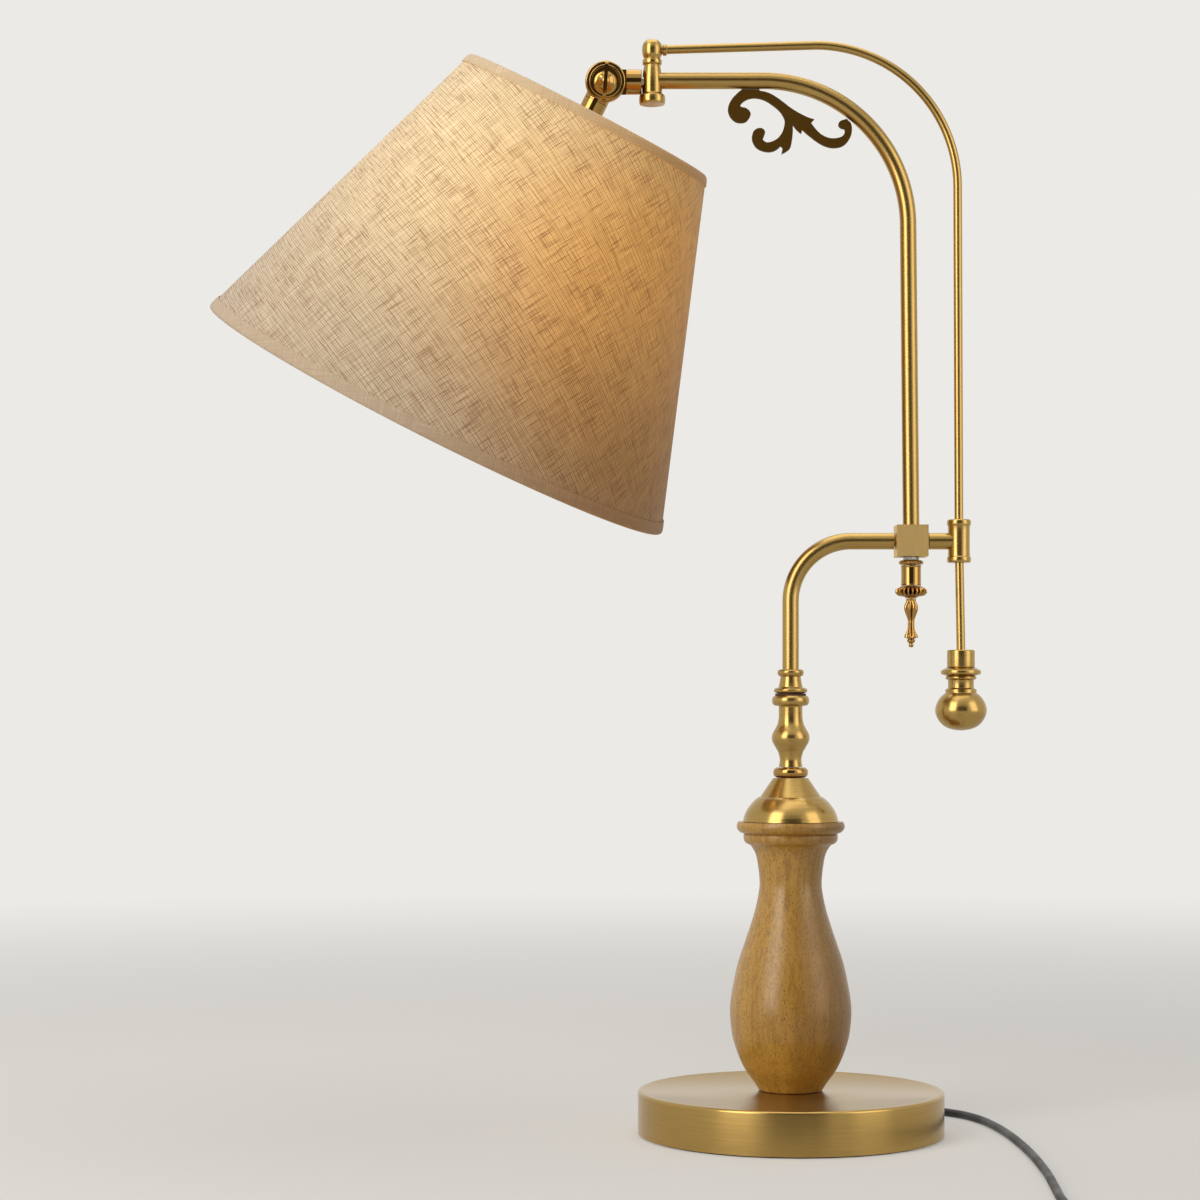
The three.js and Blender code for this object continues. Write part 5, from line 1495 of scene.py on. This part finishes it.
@dataclass
class Finial(Assembly):
    """The cast finial under the cross block: ring, barrel, beaded crown and petalled drop."""

    body: ClassVar[Body] = Body.ARM
    x: float = Arm.cube_x
    top: float = 347.8
    gap: float = 0.3
    hole: float = 3
    beads: Sequence[Flutes] = (Flutes(20, 0.4, 0.1),)
    petals: Sequence[Flutes] = (Flutes(6, 0.5, 0.3), Flutes(6, 0.45, 0.19, 0.5))
    stem_radius: float = 1.6
    stem_length: float = 3
    stem_sunk: float = 1
    ring: Turning = Turning(7.7, 2.8, ((0.6, 0), (0.88, 0.08), (1, 0.5), (0.88, 0.92), (0.6, 1)))
    barrel: Turning = Turning(6.2, 12.4, ((0.96, 0), (1, 0.03), (0.97, 0.1), (0.97, 0.9), (1, 0.97), (0.96, 1)))
    crown: Turning = Turning(9.8, 7.2, ((0.33, 0), (0.42, 0.12), (0.82, 0.25), (1, 0.5), (0.94, 0.75), (0.62, 1)))
    drop: Turning = Turning(4.2, 29.5, (
        (0, 0), (0.3, 0.012), (0.36, 0.05), (0.26, 0.088), (0.52, 0.112), (0.6, 0.15), (0.45, 0.18), (0.94, 0.2),
        (1, 0.225), (0.86, 0.27), (0.68, 0.32), (0.54, 0.38), (0.5, 0.46), (0.52, 0.58), (0.72, 0.66), (1, 0.78),
        (0.98, 0.86), (0.71, 0.95), (0.71, 1),
    ))

    def wave(self, rows: Sequence[Flutes], bottom: float, height: float) -> Wave:
        """Give the wave of a fluted piece.

        Args:
            rows: Its rows of flutes.
            bottom: Where its lower end is.
            height: Its height.

        Returns:
            A factor on the radius from the turn and the height.
        """
        return lambda turn, z: math.prod(row.factor(turn, (z - bottom) / height) for row in rows)

    def build(self) -> None:
        """Make the finial from the block down."""
        place = shift(self.x)
        z = self.top + self.gap
        for name, node, form in (
            ("finial_bead_ring", "finial_ring", self.ring), ("finial_tube", "finial_barrel", self.barrel),
        ):
            z -= self.gap + form.height
            self.turn(name, Slot.POLISHED_BRASS, node, form.outline(z, self.hole), place=place)
        z -= self.gap + self.crown.height
        beads = self.wave(self.beads, z, self.crown.height)
        self.turn("beaded_crown", Slot.POLISHED_BRASS, "finial_crown", self.crown.outline(z), 240, place, beads)
        z -= self.gap + self.drop.height
        tall = self.drop.height
        drop = Skin().lathe(self.drop.outline(z), 160, place, self.wave(self.petals, z, tall))
        stem = in_arm_plane([(self.x, z + tall - self.stem_sunk), (self.x, z + tall + self.stem_length)])
        self.make(drop.sweep(stem, self.stem_radius), "petalled_drop", Slot.POLISHED_BRASS, "finial_drop")


@dataclass
class Scroll(Assembly):
    """The scroll ornament, cut from plate, that hangs under the upper tube's bend."""

    body: ClassVar[Body] = Body.ARM
    width: float = 75.1
    thickness: float = 2
    edge: float = 0.35
    left: float = -38
    top: float = 633.1
    stretches: Sequence[Sequence[Point]] = (
        (
            (0.079, 0.029), (0.037, 0.072), (0.01, 0.118), (0, 0.157), (0.006, 0.199), (0.029, 0.238),
            (0.064, 0.265), (0.103, 0.272), (0.141, 0.265), (0.168, 0.238), (0.184, 0.199), (0.168, 0.168),
            (0.141, 0.15), (0.11, 0.144),
        ),
        ((0.097, 0.132),),
        (
            (0.118, 0.106), (0.157, 0.082), (0.203, 0.072), (0.253, 0.076), (0.307, 0.095), (0.361, 0.13),
            (0.407, 0.168), (0.438, 0.207), (0.458, 0.257), (0.446, 0.326), (0.427, 0.365), (0.4, 0.396),
            (0.369, 0.415), (0.334, 0.427), (0.307, 0.427), (0.28, 0.407),
        ),
        (
            (0.298, 0.357), (0.299, 0.342), (0.288, 0.323), (0.265, 0.312), (0.234, 0.317), (0.207, 0.338),
            (0.195, 0.373), (0.194, 0.404), (0.203, 0.434), (0.226, 0.469), (0.261, 0.492), (0.307, 0.505),
            (0.353, 0.504), (0.392, 0.488), (0.424, 0.459),
        ),
        ((0.44, 0.475), (0.438, 0.492), (0.431, 0.523)),
        ((0.469, 0.504), (0.5, 0.477), (0.514, 0.427), (0.523, 0.342), (0.523, 0.288)),
        ((0.546, 0.319), (0.569, 0.342), (0.591, 0.359)),
        ((0.599, 0.326),),
        (
            (0.631, 0.357), (0.67, 0.388), (0.716, 0.423), (0.77, 0.454), (0.824, 0.471), (0.863, 0.473),
            (0.909, 0.465), (0.948, 0.442), (0.978, 0.404), (0.995, 0.365), (1, 0.311), (0.99, 0.272),
            (0.971, 0.253),
        ),
        ((0.959, 0.239),),
        (
            (0.936, 0.245), (0.905, 0.257), (0.89, 0.282), (0.897, 0.303), (0.915, 0.317), (0.932, 0.32),
            (0.942, 0.33), (0.94, 0.353), (0.924, 0.377), (0.894, 0.39), (0.847, 0.396), (0.801, 0.388),
            (0.755, 0.365), (0.716, 0.33), (0.67, 0.272),
        ),
        ((0.697, 0.242),),
        (
            (0.654, 0.23), (0.608, 0.209), (0.554, 0.18), (0.5, 0.145), (0.446, 0.103), (0.392, 0.064),
            (0.338, 0.033), (0.292, 0.018), (0.257, 0.012),
        ),
        ((0.253, 0),),
    )

    def build(self) -> None:
        """Cut the plate."""
        outline: list[Point] = [(0.114, 0.0)]
        for stretch in self.stretches:
            line = smooth_line([outline[-1], *stretch], steps=4, corner=180)
            outline = [*outline[:-1], *line]
        points = [(x * self.width, -y * self.width) for x, y in outline]
        skin = Skin().plate(points, self.thickness, self.edge, shift(self.left, 0, self.top) @ spin("X", 90))
        self.make(skin, "scroll", Slot.DULL_BRASS, "scroll_ornament")


@dataclass(frozen=True)
class HeadFrame:
    """Where the knuckle's two halves stand, and which way the head leans at rest."""

    pivot: Place = (-112.2, 0, 637.6)
    roll: float = 9.8
    tilt: float = 26.9

    def rolled(self) -> Matrix:
        """Give the frame of what only rolls about the stub."""
        return shift(*self.pivot) @ spin("X", self.roll)

    def leaning(self) -> Matrix:
        """Give the frame of the head, whose axis points up from the shade."""
        return self.rolled() @ spin("Y", self.tilt)


@dataclass
class Knuckle(Assembly):
    """The two clamped discs that carry the shade, and the wing screw that clamps them."""

    body: ClassVar[Body] = Body.KNUCKLE
    head: HeadFrame = HeadFrame()
    radius: float = 12.2
    half: float = 7.5
    edge: float = 1.1
    gap: float = 0.15
    disc_edge: float = 0.2
    shank: float = 7.5
    shank_edge: float = 0.35
    shank_bevel: float = 0.3
    stub_length: float = 9.4
    neck_length: float = 14.6
    spigot_radius: float = 4.8
    spigot_length: float = 6.5
    spigot_sunk: float = 2
    cup_gap: float = 0.3
    cup_radius: float = 9.8
    cup_depth: float = 3.2
    cup_hollow: float = 2.1
    cup_rim: float = 1.1
    cup_edge: float = 0.6
    cup_round: float = 0.5
    boss_radius: float = 5.2
    boss_depth: float = 3.6
    boss_round: float = 3.4
    boss_foot: float = 1.2
    boss_fillet: float = 0.7
    boss_wall: float = 0.8
    blade_span: float = 23.6
    blade_depth: float = 9
    blade_thickness: float = 2.2
    blade_tip: float = 3.2
    blade_edge: float = 0.5
    blade_lean: float = 4.5
    blade_sunk: float = 1
    blade_foot: Sequence[Point] = ((3.4, 0), (0.6, 4.2))
    blade_root: float = 3.6
    screw_radius: float = 2.5
    screw_reach: float = 6.6

    def half_skin(self, side: int, length: float, place: Matrix) -> Skin:
        """Make one disc with the arm that grows out of it along +X, half round beside the other disc.

        Args:
            side: -1 for the front half, 1 for the rear half.
            length: How far the arm reaches past the disc.
            place: The frame that the half stands in.

        Returns:
            The half's skin.
        """
        outline = [
            (0.0, 0.0), (self.radius - self.disc_edge, 0), (self.radius, self.disc_edge),
            (self.radius, self.half - self.edge),
            *arc((self.radius - self.edge, self.half - self.edge), self.edge, 15, 90, 5), (0.0, self.half),
        ]
        skin = Skin().lathe(outline, 112, place @ shift(0, side * self.gap) @ spin("X", -90 * side))
        round_part = arc((0, 0), self.shank, 0, 180, 40)
        section = [(side * (self.gap + y * self.half / self.shank), x) for x, y in round_part][::side]
        clear = self.radius + 2 * self.gap
        skin.plate(section, clear, self.shank_bevel, place @ shift(clear / 2) @ spin("Z", 90) @ spin("X", 90))
        ends = [place @ Vector((x, 0, 0)) for x in (clear, clear + length)]
        return skin.sweep(ends, self.shank, sides=72, edge=self.shank_edge)

    def cup_outline(self) -> list[Point]:
        """Draw the outline of the wing screw's cup, with a bright rim and a boss.

        Returns:
            Points of radius and height.
        """
        wide, deep, hollow = self.cup_radius, self.cup_depth, self.cup_depth - self.cup_hollow
        inner, boss, bend, fillet = wide - self.cup_rim, self.boss_radius, self.cup_round, self.boss_fillet
        return [
            (0.0, 0.0), (wide - self.cup_edge, 0), (wide, self.cup_edge), (wide, deep - bend),
            *arc((wide - bend, deep - bend), bend, 0, 90, 4), (inner, deep), (inner - bend, hollow),
            (boss + self.boss_foot, hollow), (boss, hollow + fillet), (boss, deep + self.boss_wall),
            (boss - fillet, deep + 2 * self.boss_wall),
            *arc((0, deep + self.boss_depth - self.boss_round), self.boss_round, 35, 90, 8),
        ]

    def blade_outline(self) -> list[Point]:
        """Draw the outline of the wing screw's blade.

        Returns:
            Points of height and reach to the side.
        """
        half, tip = self.blade_span / 2, self.blade_tip
        low = self.cup_depth - self.blade_sunk
        high = self.cup_depth + self.blade_depth - self.blade_thickness / 2
        side = [(low + up, half - inward) for up, inward in self.blade_foot] + [(low, self.blade_root)]
        return [
            (high, -half + tip), (high, half - tip), *arc((high - tip, half - tip), tip, 0, 90, 6)[1:],
            *side, *((z, -y) for z, y in side[::-1]), *arc((high - tip, -half + tip), tip, -90, 0, 6)[:-1],
        ]

    def build_wing(self) -> None:
        """Make the wing screw: a cup, a thin blade and the screw's shank."""
        face = self.gap + self.half + self.cup_gap
        front = self.head.rolled() @ shift(0, -face)
        place = front @ spin("X", 90)
        skin = Skin().lathe(self.cup_outline(), 96, place)
        stand = front @ spin("Y", self.blade_lean) @ spin("Z", -90) @ spin("X", 90)
        skin.plate(self.blade_outline(), self.blade_thickness, self.blade_edge, stand)
        foot = -self.screw_reach - face
        skin.lathe([(0.0, foot), (self.screw_radius, foot), (self.screw_radius, 0.0), (0.0, 0.0)], 32, place)
        self.make(skin, "thumb_screw", Slot.POLISHED_BRASS, "wing_screw", body=Body.WING)

    def build(self) -> None:
        """Make the two halves and the wing screw."""
        stub = self.half_skin(1, self.stub_length, self.head.rolled())
        self.make(stub, "rear_disc", Slot.POLISHED_BRASS, "knuckle_stub")
        down = self.head.leaning() @ spin("Y", 90)
        reach = self.radius + 2 * self.gap + self.neck_length
        spigot = [down @ Vector((x, 0, 0)) for x in (reach - self.spigot_sunk, reach + self.spigot_length)]
        neck = self.half_skin(-1, self.neck_length, down).sweep(spigot, self.spigot_radius)
        self.make(neck, "front_disc", Slot.POLISHED_BRASS, "knuckle_neck", body=Body.HEAD)
        self.dress(Slot.ZINC, "roll_journal")
        self.build_wing()


@dataclass
class Lampholder(Assembly):
    """The lampholder under its brass cap, with the lit bulb. Heights run along the head's axis."""

    body: ClassVar[Body] = Body.HEAD
    head: HeadFrame = HeadFrame()
    top: float = -27.4
    wall: float = 1
    bore: float = 5.2
    cap: Turning = Turning(20.2, 21, ((1, 0), (1, 0.55), (0.93, 0.74), (0.78, 0.88), (0.5, 0.97), (0.42, 1)))
    bulb: Turning = Turning(28, 68, (
        (0, 0), (0.09, 0.004), (0.42, 0.04), (0.74, 0.14), (0.93, 0.26), (1, 0.41), (0.93, 0.57), (0.76, 0.7),
        (0.6, 0.81), (0.5, 0.91), (0.464, 1),
    ))
    bulb_top: float = -74.4

    def build(self) -> None:
        """Make cap and bulb, and dress what is between them."""
        place = self.head.leaning()
        outside = smooth_line([(r * self.cap.radius, z * self.cap.height) for r, z in self.cap.shares])
        inside = [(max(r - self.wall, self.bore), z - self.wall if z > self.wall else 0) for r, z in outside[::-1]]
        foot = self.top - self.cap.height
        cap = [(r, foot + z) for r, z in (*outside, (self.bore, self.cap.height), *inside, outside[0])]
        self.turn("holder_cap", Slot.POLISHED_BRASS, "socket_cap", cap, place=place)
        self.dress(Slot.PHENOLIC, "socket_body")
        self.dress(Slot.SATIN_BRASS, "socket_shell", "socket_contact")
        self.dress(Slot.NICKEL, "bulb_cap")
        bulb = self.bulb.outline(self.bulb_top - self.bulb.height)
        self.turn("bulb", Slot.OPAL_GLASS, "bulb_glass", bulb, 80, place)


@dataclass
class LinenShade(Assembly):
    """The linen shade: cloth laid round two wire rings, taped at both edges, on a three-armed carrier."""

    body: ClassVar[Body] = Body.HEAD
    head: HeadFrame = HeadFrame()
    drop: float = 22.2
    height: float = 206.1
    top_radius: float = 80.9
    bottom_radius: float = 155.7
    cloth: float = 1
    tape: float = 0.5
    gap: float = 0.3
    top_tape: float = 6
    bottom_tape: float = 7.5
    tape_bevel: Point = (0.12, 0.25)
    tape_edge: Sequence[Point] = ((0.05, 2.4), (0.22, 1.5), (0.5, 0.8), (0.9, 0.3), (1.35, 0.05))
    tape_bend: Point = (0.6, 1.2)
    fold: float = 0.45
    rows: int = 40
    wire: float = 1.6
    wire_depth: float = 3
    sides: int = 192
    weave_turn: float = 26
    facing: float = -100
    hub_top: float = -51.6
    hub_radius: float = 26
    hub_hole: float = 19.9
    hub_thickness: float = 1.5
    hub_edge: float = 0.3
    spoke: float = 1.5
    spokes: int = 3
    spoke_turn: float = 90
    knee_out: float = 5
    knee_up: float = 2
    knee_share: float = 0.08
    ring: Turning = Turning(24, 6, ((0.95, 0), (1, 0.12), (1, 0.88), (0.95, 1)))
    knurls: int = 36
    knurl_depth: float = 0.012

    @property
    def slope(self) -> float:
        """Give how much the radius grows with the depth."""
        return (self.bottom_radius - self.top_radius) / self.height

    @property
    def lean(self) -> float:
        """Give the factor from a thickness square to the cloth to the same, measured level."""
        return math.hypot(1, self.slope)

    def outer(self, depth: float, inset: float = 0) -> float:
        """Give the radius at a depth below the top edge, so far inside the tape's face."""
        return self.top_radius + self.slope * depth - inset * self.lean

    def place(self) -> Matrix:
        """Give the frame whose origin is the middle of the shade's top edge."""
        return self.head.leaning() @ shift(z=-self.drop)

    def band(self, name: str, line: Sequence[Point], slot: Slot, node: str, turn: float) -> Object:
        """Turn a closed line of inset and depth into a band of cloth with its weave laid flat.

        Args:
            name: The piece's name.
            line: Points of inset from the tape's face and depth, closed.
            slot: The slot of its finish.
            node: The CAD node that it stands for.
            turn: Degrees from the shade's run round to the weave's threads, at the side that faces the front.

        Returns:
            The band.
        """
        skin = Skin()
        place = self.place()
        rows = []
        for inset, depth in line:
            radius = self.outer(depth, inset)
            turns = (2 * math.pi * i / self.sides for i in range(self.sides))
            rows.append([place @ Vector((radius * math.cos(t), radius * math.sin(t), -depth)) for t in turns])
        skin.grid(rows)
        unrolled = math.atan(self.slope)
        apex = self.top_radius / self.slope
        facing, laid = math.radians(self.facing), math.radians(turn)
        back = place.inverted()
        for face in skin.mesh.faces:
            middle = back @ (face.calc_center_median() / MM)
            around = math.atan2(middle.y, middle.x)
            for loop in face.loops:
                spot = back @ (loop.vert.co / MM)
                step = (math.atan2(spot.y, spot.x) - around + math.pi) % (2 * math.pi) - math.pi
                bearing = (around - facing + math.pi) % (2 * math.pi) - math.pi + step
                far = (apex - spot.z) / math.cos(unrolled) * MM
                angle = bearing * math.sin(unrolled) + laid
                loop[skin.grain].uv = (far * math.sin(angle), far * math.cos(angle))
        return self.make(skin, name, slot, node)

    def tape_outline(self, width: float) -> list[Point]:
        """Draw a tape's outline, folded round the cloth's edge.

        Args:
            width: How far the tape reaches over the cloth.

        Returns:
            Points of inset from the tape's face and of depth from the shade's edge, closed.
        """
        inside, fold, thin = self.tape + self.gap + self.cloth, self.fold, self.tape
        (bevel, back), (bend, rise) = self.tape_bevel, self.tape_bend
        return [
            (bevel, width), (0, width - back), (0, 0.6 * width), *self.tape_edge, (inside - fold, 0),
            (inside - 0.3 * fold, 0.3 * fold), (inside, fold), (inside, thin), (thin + bend, thin), (thin, rise),
            (thin, width), (bevel, width),
        ]

    def build_cloth(self) -> None:
        """Make the cloth and the two tapes."""
        inset = self.tape + self.gap
        depths = [inset + (self.height - 2 * inset) * i / self.rows for i in range(self.rows + 1)]
        line = [(inset, depth) for depth in depths[::-1]] + [(inset + self.cloth, depth) for depth in depths]
        cloth = self.band("linen_cloth", [*line, line[0]], Slot.LINEN, "shade_fabric", self.weave_turn)
        for name, node, start, width, way in (
            ("top_binding", "top_tape", 0, self.top_tape, 1),
            ("bottom_binding", "bottom_tape", self.height, self.bottom_tape, -1),
        ):
            line = [(inward, start + way * depth) for inward, depth in self.tape_outline(width)[::-way]]
            self.band(name, line, Slot.TAPE, node, 45 + self.weave_turn).name

    def build_carrier(self, inset: float) -> None:
        """Make the carrier: a flat ring and the spokes to the top rim.

        Args:
            inset: How far inside the tape's face the top rim's wire runs.
        """
        leaning = self.head.leaning()
        low, rim = self.hub_top - self.hub_thickness, self.hub_radius - self.hub_edge
        skin = Skin().lathe([
            (self.hub_hole, low), (rim, low), (self.hub_radius, low + self.hub_edge),
            (self.hub_radius, self.hub_top - self.hub_edge), (rim, self.hub_top), (self.hub_hole, self.hub_top),
            (self.hub_hole, low),
        ], place=leaning)
        near = Vector((self.hub_radius - self.spoke / 2, 0, low + self.hub_thickness / 2))
        reach = self.outer(self.wire_depth, inset + self.wire) - self.gap
        far = Vector((reach, 0, -self.drop - self.wire_depth))
        knee = Vector((self.hub_radius + self.knee_out, 0, near.z + self.knee_up))
        for i in range(self.spokes):
            turn = leaning @ spin("Z", self.spoke_turn + i * 360 / self.spokes)
            line = [turn @ point for point in smooth_route([near, knee, far.lerp(knee, self.knee_share), far], 3)]
            skin.sweep(line, self.spoke, sides=20)
        self.make(skin, "carrier", Slot.ENAMEL, "shade_spider")

    def knurl(self, turn: float, _height: float) -> float:
        """Give the factor of the grip round the clamping ring's rim."""
        return 1 - self.knurl_depth * (0.5 - 0.5 * math.cos(self.knurls * turn))

    def build_wires(self) -> None:
        """Make the wire rings, the carrier and the ring that clamps it."""
        inset = self.tape + self.gap + self.cloth + self.wire + self.gap
        place = self.place()
        for name, node, depth in (
            ("top_rim", "top_wire", self.wire_depth), ("bottom_rim", "bottom_wire", self.height - self.wire_depth),
        ):
            loop = arc((self.outer(depth, inset), -depth), self.wire, 0, 360, 16)
            self.turn(name, Slot.ENAMEL, node, loop, self.sides, place)
        self.build_carrier(inset)
        ring = self.ring.outline(self.hub_top - self.hub_thickness - self.gap - self.ring.height, self.hub_hole)
        sides = 6 * self.knurls
        self.turn("clamp_ring", Slot.PHENOLIC, "shade_ring", ring, sides, self.head.leaning(), self.knurl)

    def build(self) -> None:
        """Make the whole shade."""
        self.build_wires()
        self.build_cloth()


@dataclass(frozen=True)
class Lamp:
    """A soft lamp: where it hangs, its width and height, its watts and its colour."""

    name: str
    place: Place
    size: tuple[float, float]
    power: float
    tint: Colour
    only_gleams: bool = False


@dataclass
class Studio:
    """A pale floor that fades into a pale room, soft lamps and a dark card."""

    floor_colour: Colour = (236, 234, 231)
    room_colour: Colour = (236, 234, 230)
    card_colour: Colour = (120, 112, 102)
    card_place: Place = (0, -2600, 600)
    card_size: tuple[float, float] = (2300, 2600)
    lamps: Sequence[Lamp] = (
        Lamp("key", (-1280, -1320, 1100), (1000, 1900), 21.5, (255, 250, 243)),
        Lamp("top", (-100, 200, 1900), (1600, 1600), 11.5, (255, 252, 248)),
        Lamp("gleam", (1500, -950, 900), (1000, 1700), 8.5, (255, 249, 242), only_gleams=True),
    )
    room_light: float = 0.3
    floor_radius: float = 9000
    near: float = 0.3
    far: float = 2.4
    floor_glow: float = 0.35
    aim: Place = (0, 0, 330)
    steps: int = 64

    def hang(self, lamp: Lamp) -> None:
        """Hang a soft lamp that looks at the object.

        Args:
            lamp: The lamp.
        """
        data = bpy.data.lights.new(lamp.name, "AREA")
        data.shape, data.size, data.size_y = "RECTANGLE", lamp.size[0] * MM, lamp.size[1] * MM
        data.energy, data.color = lamp.power, linear(lamp.tint)[:3]
        light = bpy.data.objects.new(lamp.name, data)
        light.location = Vector(lamp.place) * MM
        light.rotation_euler = (Vector(self.aim) - Vector(lamp.place)).to_track_quat("-Z", "Y").to_euler()
        light.visible_camera, light.visible_diffuse = False, not lamp.only_gleams
        bpy.context.scene.collection.objects.link(light)

    def build_card(self) -> None:
        """Stand up a dark card that only polished surfaces mirror, as in a photographer's studio."""
        board = Board("front_card")
        clouds = board.span(board.noise(board.object, (2, 2, 2)), 0.3, 0.7)
        tone = board.mix(clouds, linear(self.card_colour), linear(self.card_colour, 1.3))
        turn = (Vector(self.aim) - Vector(self.card_place)).to_track_quat("Z", "Y").to_matrix().to_4x4()
        stand = shift(*self.card_place) @ turn
        x, y = self.card_size[0] / 2, self.card_size[1] / 2
        skin = Skin()
        skin.grid([[stand @ Vector((a, b, 0)) for a in (-x, x)] for b in (-y, y)], ring=False)
        card = skin.make("front_card", board.done(Base_Color=tone, Roughness=1.0, Specular_IOR_Level=0.0))
        card.visible_camera = card.visible_diffuse = card.visible_shadow = card.visible_transmission = False

    def seen(self, nodes: Nodes) -> NodeSocket:
        """Tell what sees the room from what it lights.

        Args:
            nodes: The nodes that the answer goes to.

        Returns:
            1 where the camera, metal or glass sees the room, and else the strength of the room's light.
        """
        path = nodes.add("ShaderNodeLightPath").outputs
        value: Value = self.room_light
        for ray in ("Is Camera Ray", "Is Glossy Ray", "Is Transmission Ray"):
            value = nodes.calc("MAXIMUM", value, path[ray])
        return value

    def build_floor(self) -> None:
        """Lay the floor, whose far part is as pale as the room."""
        board = Board("pale_floor")
        fade = board.span(board.vector("LENGTH", board.object), self.near, self.far, self.floor_glow, 1)
        clouds = board.span(board.noise(board.object, (3, 3, 3)), 0.3, 0.7, 0, 0.25)
        tone = board.mix(clouds, linear(self.floor_colour), linear(self.floor_colour, 0.97))
        board.done(
            Base_Color=board.mix(fade, tone, BLACK), Roughness=1.0, Specular_IOR_Level=0.0,
            Emission_Color=board.mix(fade, BLACK, linear(self.room_colour)), Emission_Strength=self.seen(board),
        )
        turns = [2 * math.pi * i / self.steps for i in range(self.steps)]
        skin = Skin()
        skin.grid([[Vector((r * math.cos(t), r * math.sin(t), 0)) for t in turns] for r in (0, 1, self.floor_radius)])
        skin.make("floor", board.material)

    def build_room(self) -> None:
        """Make the room's light, and the pale colour that the camera, metal and glass see."""
        world = bpy.data.worlds.new("room")
        bpy.context.scene.world = world
        world.use_nodes = True
        nodes = Nodes(world.node_tree)
        background = nodes.add("ShaderNodeBackground", {0: linear(self.room_colour), 1: self.seen(nodes)})
        nodes.add("ShaderNodeOutputWorld", {0: background.outputs[0]})

    def build(self) -> None:
        """Set up floor, room, lamps and card."""
        self.build_floor()
        self.build_room()
        for lamp in self.lamps:
            self.hang(lamp)
        self.build_card()


def finishes() -> list[Finish]:
    """Give the lamp's finishes."""
    # Centre of the shade's painted glow, a little in front of the bulb itself.
    bulb = (-0.163, -0.018, 0.552)
    return [
        Metal(Slot.SATIN_BRASS, (186, 154, 90), roughness=0.26, brushed=0.4, tarnish=0.05, spread=0.6),
        Metal(Slot.BRUSHED_BRASS, (228, 194, 126), roughness=0.4, spread=0.7),
        Metal(Slot.POLISHED_BRASS, (178, 140, 78), roughness=0.1, brushed=0.08, tarnish=0.1),
        Metal(Slot.DULL_BRASS, (98, 70, 26), roughness=0.5, brushed=0.2, tarnish=0.3),
        Metal(Slot.ZINC, (186, 186, 180), roughness=0.34, brushed=0.2),
        Metal(Slot.CAST_IRON, (70, 70, 70), roughness=0.7, brushed=0.1, tarnish=0.6),
        Metal(Slot.NICKEL, (202, 200, 194), roughness=0.2, brushed=0.1, tarnish=0.1),
        Wood(
            Slot.TURNED_WOOD, light=(198, 153, 72), middle=(184, 137, 54), dark=(150, 104, 32), pore=(92, 58, 20),
            roughness=0.33,
        ),
        Linen(
            Slot.LINEN, light=(214, 197, 176), dark=(168, 143, 118), slub=(136, 88, 48), glow=(255, 242, 168),
            glow_gain=1.12, bulb=bulb,
        ),
        Linen(
            Slot.TAPE, light=(222, 204, 183), dark=(196, 174, 150), slub=(150, 114, 80), glow=(255, 238, 156),
            glow_gain=0.6, bulb=bulb, thread=0.7, rib_share=0, slub_gap=1.2, slub_share=0.3,
        ),
        Moulded(Slot.FELT, (44, 40, 36), roughness=0.92, grain=0.8, depth=0.3, fuzz=0.4),
        Moulded(Slot.FIBRE, (84, 48, 32), roughness=0.7),
        Moulded(Slot.PHENOLIC, (34, 30, 28), roughness=0.36),
        Moulded(Slot.ENAMEL, (232, 228, 218), roughness=0.42),
        Moulded(Slot.CORD_PLASTIC, (30, 28, 26), roughness=0.42, grain=0.3, depth=0.03),
        Moulded(Slot.ROCKER_RED, (184, 48, 28), roughness=0.34, grain=0.3, depth=0.02),
        OpalGlass(Slot.OPAL_GLASS, (255, 226, 176), strength=5),
    ]


def main() -> None:
    """Build the lamp and its studio in order."""
    logging.basicConfig(level=logging.INFO, format="%(name)s: %(message)s")
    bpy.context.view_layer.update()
    View().build()
    palette = {finish.slot: finish.material() for finish in finishes()}
    MainsLead(palette).build()
    for part in (RoundBase, Stem, Arm, CounterRod, Finial, Scroll, Knuckle, Lampholder, LinenShade):
        log.info("building %s", part.__name__)
        part(palette).build()
    Studio().build()
    bpy.context.scene.view_settings.view_transform = "Standard"


if __name__ == "__main__":
    main()
